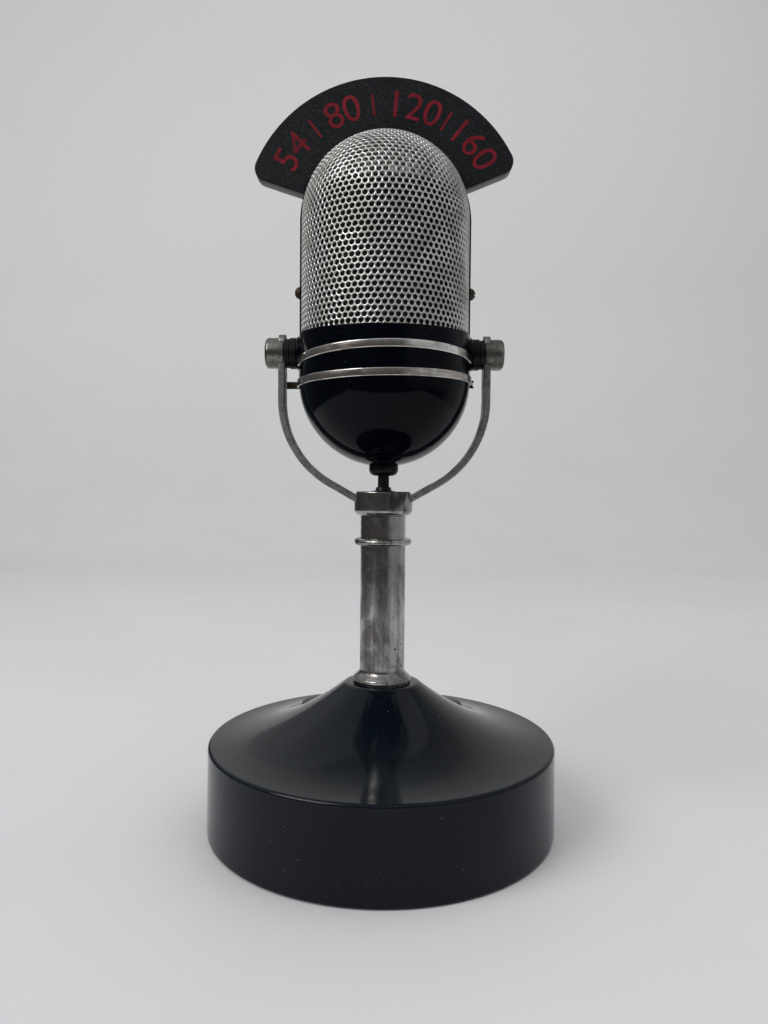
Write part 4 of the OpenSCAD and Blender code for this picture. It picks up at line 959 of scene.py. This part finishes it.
def peg(radius, low, high, angle):
    """A round peg on the dome's middle line, at an angle from the top and in the middle of the sign."""
    return moved(tipped(rod(radius, low, high, 32), angle), y=PEG_Y, z=HIGH_Z)


def lug_box(low, high, out=LUG_OUT):
    """One box of the small lug at the right seam, from one height to another."""
    return box_part((LUG_IN, 0, low), (out, LUG_BACK, high))


vents = [box_part((x - VENT_HALF, 19, VENT_LOW), (x + VENT_HALF, 36, VENT_HIGH)) for x in VENT_X]
screw_wells = [moved(backwards(rod(3.0, 21, 40)), x, z=WELL_Z) for x in (-WELL_X, WELL_X)]
peg_holes = [peg(1.7, 28, 36, angle) for angle in (SIGN_TURN - PEG_TURN, 0, SIGN_TURN + PEG_TURN)]
tab_notch = box_part((-34.5, -0.5, 169.75), (-31.5, 0.85, 172.55))
lug = [lug_box(170.7, 173.6), lug_box(170.7, 171.4, LUG_OUT + 0.4), lug_box(172.9, 173.6, LUG_OUT + 0.4)]
rear_mesh = combined(
    mesh_from("rear", rear_shell()),
    ("UNION", half_pad(-1, False), half_pad(1, False), *lug),
    ("DIFFERENCE", *pad_bores, *vents, *screw_wells, *peg_holes, rod(CABLE_HOLE, 138, 143, 64), tab_notch),
)
add_piece("rear_shell_fine", rear_mesh, "head", "head_gloss", ["rear_shell"])

# %% [markdown]
# ## The grille
# The grille is a sheet with a hexagonal pattern of round holes, bent round the front and drawn over the
# dome. A real press does this to a flat sheet, so its rows of holes stay unbroken: level on the straight
# part, and leaning back little by little over the dome, while the holes keep their distance along each row.
#
# One function says where a point of the flat sheet ends up. Each hole is then one small hexagon of the flat
# sheet, and all of them go through that function at once. Neighbours share the corners of their hexagons,
# so the sheet closes when equal points are merged. Near 1,900 holes with 48 faces each are enough for
# round, rolled edges.

# %% The grille
GRILLE_R, SHEET = 32.4, 0.62
PITCH = 2.42
ROW = PITCH * math.sqrt(3) / 2
HOLE_R = 0.93
GRILLE_LOW, GRILLE_BACK = 187.5, 1.2


def on_pill(u, v):
    """Where the flat sheet's point (u, v) lies, u along a row from the front's middle and v up from the
    dome's equator, and the outward normal there. Below the equator the sheet is a cylinder. Above it, the
    row whose middle is at the angle a = v / R lies in a plane that leans back by t = 0.55 a, on a circle of
    radius R cos(a - t)."""
    a = np.maximum(v, 0) / GRILLE_R
    t = 0.55 * a
    circle = GRILLE_R * np.cos(a - t)
    turn = u / circle
    off = GRILLE_R * np.sin(a - t)
    x = circle * np.sin(turn)
    y = off * np.sin(t) - circle * np.cos(turn) * np.cos(t)
    z = off * np.cos(t) + circle * np.cos(turn) * np.sin(t)
    normal = np.stack([x, y, z], -1) / GRILLE_R
    return np.stack([x, y, z + HIGH_Z + np.minimum(v, 0)], -1), normal


def perforated_sheet():
    """Rings of 12 points round each hole, from the hexagon's edge over the rim and through the sheet."""
    rows = np.arange(-24, 29)
    columns = np.arange(-24, 25)
    k, row = np.meshgrid(columns, rows)
    u0 = (k + 0.5 * (row % 2)) * PITCH
    v0 = row * ROW - 0.4
    middle, _ = on_pill(u0, v0)
    half_round = np.pi * GRILLE_R * np.cos(0.45 * np.maximum(v0, 0) / GRILLE_R)
    kept = (middle[..., 1] < GRILLE_BACK + 1.6) & (middle[..., 2] > GRILLE_LOW - 1.4)
    kept &= np.abs(u0) < 0.75 * half_round
    u0, v0 = u0[kept][:, None, None], v0[kept][:, None, None]
    angle = np.radians(np.arange(12) * 30)
    hexagon = PITCH / 2 / np.where(np.arange(12) % 2 == 0, 1, np.cos(np.radians(30)))
    radius = np.stack([hexagon, *[np.full(12, r) for r in (HOLE_R + 0.13, HOLE_R, HOLE_R)], hexagon])
    depth = np.array([0, 0.03, 0.2, SHEET, SHEET])[:, None]
    position, normal = on_pill(u0 + radius * np.cos(angle), v0 + radius * np.sin(angle))
    points = position - normal * depth[None, :, :, None]
    faces = grid(len(radius), 12, wrap_columns=True)
    cells = (np.arange(len(u0)) * points.shape[1] * 12)[:, None, None] + faces[None]
    print("holes:", len(u0))
    return (points.reshape(-1, 3), cells.reshape(-1, 4))


def trimmed(mesh, *planes):
    """The mesh cut and closed by planes, each a point in mm and the normal of the side that goes."""
    bm = bmesh.new()
    bm.from_mesh(mesh)
    for point, normal in planes:
        everything = bm.verts[:] + bm.edges[:] + bm.faces[:]
        cut = bmesh.ops.bisect_plane(bm, geom=everything, plane_co=np.array(point) * MM, plane_no=normal,
                                     clear_outer=True, dist=1e-7)["geom_cut"]
        edges = [e for e in cut if isinstance(e, bmesh.types.BMEdge) and e.is_boundary]
        bmesh.ops.holes_fill(bm, edges=edges, sides=0)
    bmesh.ops.recalc_face_normals(bm, faces=bm.faces)
    bm.to_mesh(mesh)
    bm.free()
    return mesh


sheet_mesh = trimmed(
    mesh_from("grille", perforated_sheet()),
    ((0, GRILLE_BACK, 0), (0, 1, 0)), ((0, 0, GRILLE_LOW), (0, 0, -1)),
)
add_piece("grille_perforated", sheet_mesh, "head", "grille_chrome", ["grille"], sharp=50)

# %% [markdown]
# ## Trim bands
# Two thin polished strips run round the head's front. The upper one climbs a little towards the front. Both
# sit askew in the photograph, their left ends down by 1.3 degrees. Each is a section with eased edges,
# carried round an arc, and its height follows from its tilt.

# %% The trim bands
BAND_TURN, BAND_HALF, BAND_IN, BAND_OUT = 1.3, 1.5, 33.25, 33.9


def band(level, climb, stop):
    """A strip round the front at the angle a: x = r sin a, y = -r cos a, and its middle's height is
    level + tan(climb) r cos a + tan(BAND_TURN) r sin a. It ends where y is `stop`."""
    a_end = math.acos(-stop / 33.6)
    a = np.linspace(-a_end, a_end, 145)
    half = np.array([[BAND_IN, BAND_HALF], [33.62, BAND_HALF], [BAND_OUT, 1.25]])
    section = eased(np.concatenate([half * (1, -1), half[::-1]]), 0.22)
    r, h = section.T
    rise, turn = math.tan(math.radians(climb)), math.tan(math.radians(BAND_TURN))
    z = level + rise * np.outer(np.cos(a), r) + turn * np.outer(np.sin(a), r) + h
    return capped(np.stack([np.outer(np.sin(a), r), -np.outer(np.cos(a), r), z], -1))


for name, level, climb, stop in (("upper_band", 179.4, 4.5, -6.8), ("lower_band", 172.1, 0, -1.0)):
    add_piece(f"{name}_fine", band(level, climb, stop), "head", "band_chrome", [name], sharp=50)

# %% [markdown]
# ## Grommet and side screws
# The grommet under the head is one soft rounded ring. The side screws have domed, slotted heads, brown with
# age. A head's dome is a quarter ellipse, turned round the screw's axis.

# %% The grommet under the head and the side screws
grommet_profile = np.concatenate([
    eased([[2.3, 143.8], [2.3, 136.2], [4.0, 136.2]], 0.4, closed=False)[:-1],
    arc(3.2, 138.7, 2.5, -90, 0, 14),
    [[5.7, 140.1], [5.6, 140.26], [3.9, 140.04], [3.9, 142.6], [5.65, 142.6], [5.65, 143.5], [5.4, 143.8]],
])
add_piece("head_grommet_fine", turned(grommet_profile, 96), "head", "grommet_black", ["head_grommet"])

SCREW_Z, SCREW_HEAD, SCREW_OUT, SCREW_CROWN = 207.5, 2.4, 33.25, 2.3
crown = np.radians(np.arange(6, 91, 7))
screw_profile = np.concatenate([
    [[0, 26.6], [1.25, 26.6], [1.25, 33.1], [SCREW_HEAD, 33.1], [SCREW_HEAD, SCREW_OUT]],
    np.stack([SCREW_HEAD * np.cos(crown), SCREW_OUT + SCREW_CROWN * np.sin(crown)], 1),
    [[0, SCREW_OUT + SCREW_CROWN]],
])
screw = moved(along_x(turned(screw_profile, 48), 1), z=SCREW_Z)
slot = box_part((34.6, -3, -0.35), (37, 3, 0.35))
screws, slots = [], []
for azimuth, tip in ((4.7, 25), (175.3, -40)):
    screws.append(spun(screw, azimuth))
    slots.append(spun(moved(rolled(slot, tip), z=SCREW_Z), azimuth))
screw_mesh = combined(mesh_from("side_screws", *screws), ("DIFFERENCE", *slots))
add_piece("side_screws_slotted", screw_mesh, "head", "side_screw", ["grille_screws"])

# %% [markdown]
# ## The sign
# An arched box stands on the dome, lit from inside through its front when the radio plays. Its front
# carries plain numbers for a tuning scale, and ticks between them. The numbers start as flat text. Then the
# same trick as for the grille wraps them: across becomes an angle, and up becomes a radius.

# %% The sign's box and front
SIGN_IN, SIGN_OUT, SIGN_HALF, SIGN_ROUND = 33.5, 55.0, 70.0, 5.0
FACE_Y, FACE_BACK, CASE_Y, CASE_BACK, CASE_WALL = -0.4, 0.78, 0.8, 6.8, 1.5


def sign_outline(edge=0.0):
    """An arch seen from the front, counter-clockwise, moved in by `edge` and turned by SIGN_TURN."""
    r_in, r_out = SIGN_IN + edge, SIGN_OUT - edge
    half, corner = SIGN_HALF - edge * 1.2, SIGN_ROUND - edge / 2
    reach = half - math.degrees(math.asin(corner / (r_out - corner)))
    centre = (r_out - corner) * np.array([math.sin(math.radians(reach)), math.cos(math.radians(reach))])
    right = arc(*centre, corner, -half, 90 - reach, 14)
    left = right[::-1] * (-1, 1)
    outside = arc(0, 0, r_out, 90 - reach, 90 + reach, 96)[1:-1]
    inside_edge = arc(0, 0, r_in, 90 + half, 90 - half, 96)
    x, z = np.concatenate([right, outside, left, inside_edge]).T
    turn = math.radians(SIGN_TURN)
    across, up = x * math.cos(turn) + z * math.sin(turn), z * math.cos(turn) - x * math.sin(turn)
    return np.stack([across, up + HIGH_Z], 1)


pegs = [peg(1.6, 30.7, 35.0, angle) for angle in (SIGN_TURN - PEG_TURN, SIGN_TURN + PEG_TURN)]
hollow = plate(sign_outline(CASE_WALL), CASE_Y - 1, CASE_BACK - CASE_WALL, 0.1)
case_mesh = combined(
    mesh_from("sign_case", plate(sign_outline(), CASE_Y, CASE_BACK, 0.45)),
    ("UNION", *pegs), ("DIFFERENCE", hollow, peg(1.7, 30, 36, 0)),
)
add_piece("sign_case_fine", case_mesh, "head", "sign_black", ["sign_case"])
face = plate(sign_outline(), FACE_Y, FACE_BACK, 0.3)
add_piece("sign_face_fine", face, "head", "sign_front", ["sign_face"])

# %% The scale on the sign's front
SCALE_R, TICK_IN, TICK_OUT, TICK_HALF = 44.3, 40.5, 48.5, 0.45


def scale_finish():
    """Thin dark red print that the grain of the sign's front shows through."""
    shader = new_material("scale_red", roughness=0.5, Specular_IOR_Level=0.15)
    where = place(shader)
    ink_wear_and_painted_glint_zone = use(specks, where, Scale=1700.0, Amount=0.5, Radius=0.5)
    ink = blend_colours(use(smears, where, Scale=120.0, Contrast=0.2), "#65131f", "#7d1c29")
    joined(shader, Base_Color=blend_colours(times(ink_wear_and_painted_glint_zone, 0.6), ink, "#1c1012"))


def wrapped_text(words, size, middle_angle):
    """Text made a mesh in the XZ plane and wrapped round the dome: a point x along the line turns by
    x / SCALE_R, and its height y adds to the radius."""
    data = bpy.data.curves.new("number", "FONT")
    data.body, data.size = words, size
    data.align_x, data.align_y = "CENTER", "CENTER"
    data.extrude, data.resolution_u = 0.04, 6
    text = in_scene("number", data)
    mesh = bpy.data.meshes.new_from_object(text.evaluated_get(bpy.context.evaluated_depsgraph_get()))
    bpy.data.objects.remove(text)
    flat = np.zeros(len(mesh.vertices) * 3)
    mesh.vertices.foreach_get("co", flat)
    x, y, out = flat.reshape(-1, 3).T
    angle = math.radians(SIGN_TURN + middle_angle) + x / SCALE_R
    radius = SCALE_R + y
    points = np.stack([radius * np.sin(angle), FACE_Y - 0.02 - out, HIGH_Z + radius * np.cos(angle)], 1)
    faces = [tuple(p.vertices) for p in mesh.polygons]
    bpy.data.meshes.remove(mesh)
    by_size = [np.array([f for f in faces if len(f) == n]) for n in sorted({len(f) for f in faces})]
    return (points, *by_size)


def tick(angle):
    """A short radial line, as a thin bar on the front."""
    bar = box_part((-TICK_HALF, FACE_Y - 0.05, TICK_IN), (TICK_HALF, FACE_Y + 0.05, TICK_OUT))
    return moved(tipped(bar, SIGN_TURN + angle), z=HIGH_Z)


labels = (("54", -52), ("80", -20), ("120", 16), ("160", 50.5))
numbers = [wrapped_text(words, 14.4, angle) for words, angle in labels]
scale_mesh = mesh_from("scale", *numbers, *[tick(angle) for angle in (-36, -4.5, 33.3)])
scale_finish()
add_piece("sign_scale_print", scale_mesh, "head", "sign_front", material=finish["scale_red"])

# %% [markdown]
# ## The cable
# A black cable comes straight up out of the stem and into the head. It is held at both ends, and it crosses
# the joint. Here it is one straight piece of close rings of points, left free of both bodies.

# %% The cable between stem and head
CABLE_R, CABLE_LOW, CABLE_HIGH = 2.2, 129.8, 138.2
cable_z = np.linspace(CABLE_LOW, CABLE_HIGH, 29)
cable_side = np.stack([np.full(len(cable_z), CABLE_R), cable_z], 1)
cable_profile = np.concatenate([[[0, cable_z[0]]], cable_side, [[0, cable_z[-1]]]])
cable = add_piece("joint_cable_bending", turned(cable_profile, 40), None, "cable_black", ["joint_cable"])
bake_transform(cable)

# %% [markdown]
# ## The room
# The floor is plain and pale and runs up into a plain pale wall, without a line behind the object. Gloss
# black mirrors more than the camera sees, though: the lower shell shows a table with an end in front and at
# both sides, and a dim room beyond. The chrome's left edges are dark too. So only the table and the wall's
# middle and right have a mirror image. The rest is for the eye alone.

# %% The floor and the wall behind
TABLE_LEFT, TABLE_RIGHT, TABLE_FRONT, TABLE_BACK = -480.0, 540.0, -440.0, 900.0
FAR, WALL_LEFT = 3000.0, -600.0


def sheet(name, x_range, line, mirrored):
    """A stage sheet over a range of X and a line of (y, z) points."""
    line = np.array(line)
    points = np.stack([np.repeat(x_range, len(line)), np.tile(line[:, 0], 2), np.tile(line[:, 1], 2)], 1)
    piece = in_scene(name, mesh_from(name, (points, grid(2, len(line))[:, ::-1])))
    piece.data.shade_smooth()
    piece.data.materials.append(finish["table"])
    piece.visible_glossy = mirrored


def stage_finish():
    """Matt paint, a little cloudy. The wall is paler than the table."""
    shader = new_material("table", roughness=0.55, Specular_IOR_Level=0.3)
    where = place(shader)
    table = blend_colours(use(smears, where, Scale=6.0, Contrast=0.3), "#cdced0", "#d1d2d4")
    joined(shader, Base_Color=blend_colours(between(xyz(where)["Z"], 0.0, 0.7), table, "#e4e4e2"))


stage_finish()
floor_line = [(-FAR, 0), (TABLE_BACK, 0)]
wall_line = np.concatenate([arc(TABLE_BACK, 600, 600, -90, 0, 32), [[TABLE_BACK + 600, FAR]]])
sheet("room", (WALL_LEFT, FAR), wall_line, True)
sheet("room_left", (-FAR, WALL_LEFT), wall_line, False)
sheet("table", (TABLE_LEFT, TABLE_RIGHT), [(TABLE_FRONT, 0), (TABLE_BACK, 0)], True)
sheet("floor_left", (-FAR, TABLE_LEFT), floor_line, False)
sheet("floor_right", (TABLE_RIGHT, FAR), floor_line, False)
sheet("floor_in_front", (TABLE_LEFT, TABLE_RIGHT), [(-FAR, 0), (TABLE_FRONT, 0)], False)

# %% [markdown]
# ## Light
# The photograph was taken in daylight from a large window at the front left, in a pale room. Gloss plastic
# and chrome show what is around them, so the lamps are broad and soft, and the world is a pale room that is
# darker in front, where the photographer stood.

# %% The lamps and the world
def lamp(name, place_m, aim_m, size, watts, tint, shows=True):
    """A rectangular lamp at a place, aimed at a point, its size in metres. One that doesn't show gives
    light but has no mirror image."""
    data = bpy.data.lights.new(name, "AREA")
    data.shape, data.size, data.size_y, data.energy, data.color = "RECTANGLE", *size, watts, tint
    thing = in_scene(name, data)
    direction = Matrix.Translation(aim_m).translation - Matrix.Translation(place_m).translation
    thing.matrix_world = Matrix.Translation(place_m) @ direction.to_track_quat("-Z", "Y").to_matrix().to_4x4()
    thing.visible_glossy = shows
    return thing


lamp("window", (-1.3, -0.9, 1.4), (0, 0, 0.15), (1.2, 1.2), 24, (1.0, 0.99, 0.97))
lamp("ceiling", (0.4, 0.1, 1.8), (0, 0, 0.1), (1.8, 1.8), 12, (1.0, 1.0, 1.0), shows=False)


def room_light():
    """The world, from the way each ray goes: a pale ceiling, a dim room in front below it, a paler side to
    the right and a darker one to the left. Each part is a soft mask of the way's own numbers."""
    world = bpy.data.worlds.new("room_light")
    world.use_nodes = True
    tree = world.node_tree
    x, y, z = xyz(put(tree, "TexCoord").outputs["Generated"])
    right = times(between(x, 0.35, 0.6), between(z, -0.3, 0.0))
    room = blend_colours(right, "#4d4a48", "#a4a7a8")
    wall = blend_colours(between(x, -0.2, -0.5), "#b9babb", "#4b4c4e")
    room = blend_colours(between(y, -0.2, 0.3), room, wall)
    room = blend_colours(between(z, 0.12, 0.65), room, "#c9cbcd")
    seen = put(tree, "LightPath").outputs["Is Camera Ray"]
    joined(tree.nodes["Background"], Color=blend_colours(seen, room, "#d9dadb"),
           Strength=between(seen, 0.0, 1.0, 0.85, 1.0))
    bpy.context.scene.world = world


room_light()
bpy.context.scene.view_settings.view_transform = "Standard"

# %% The sizes, and the end
print("triangles in the new pieces:", sum(made.values()))
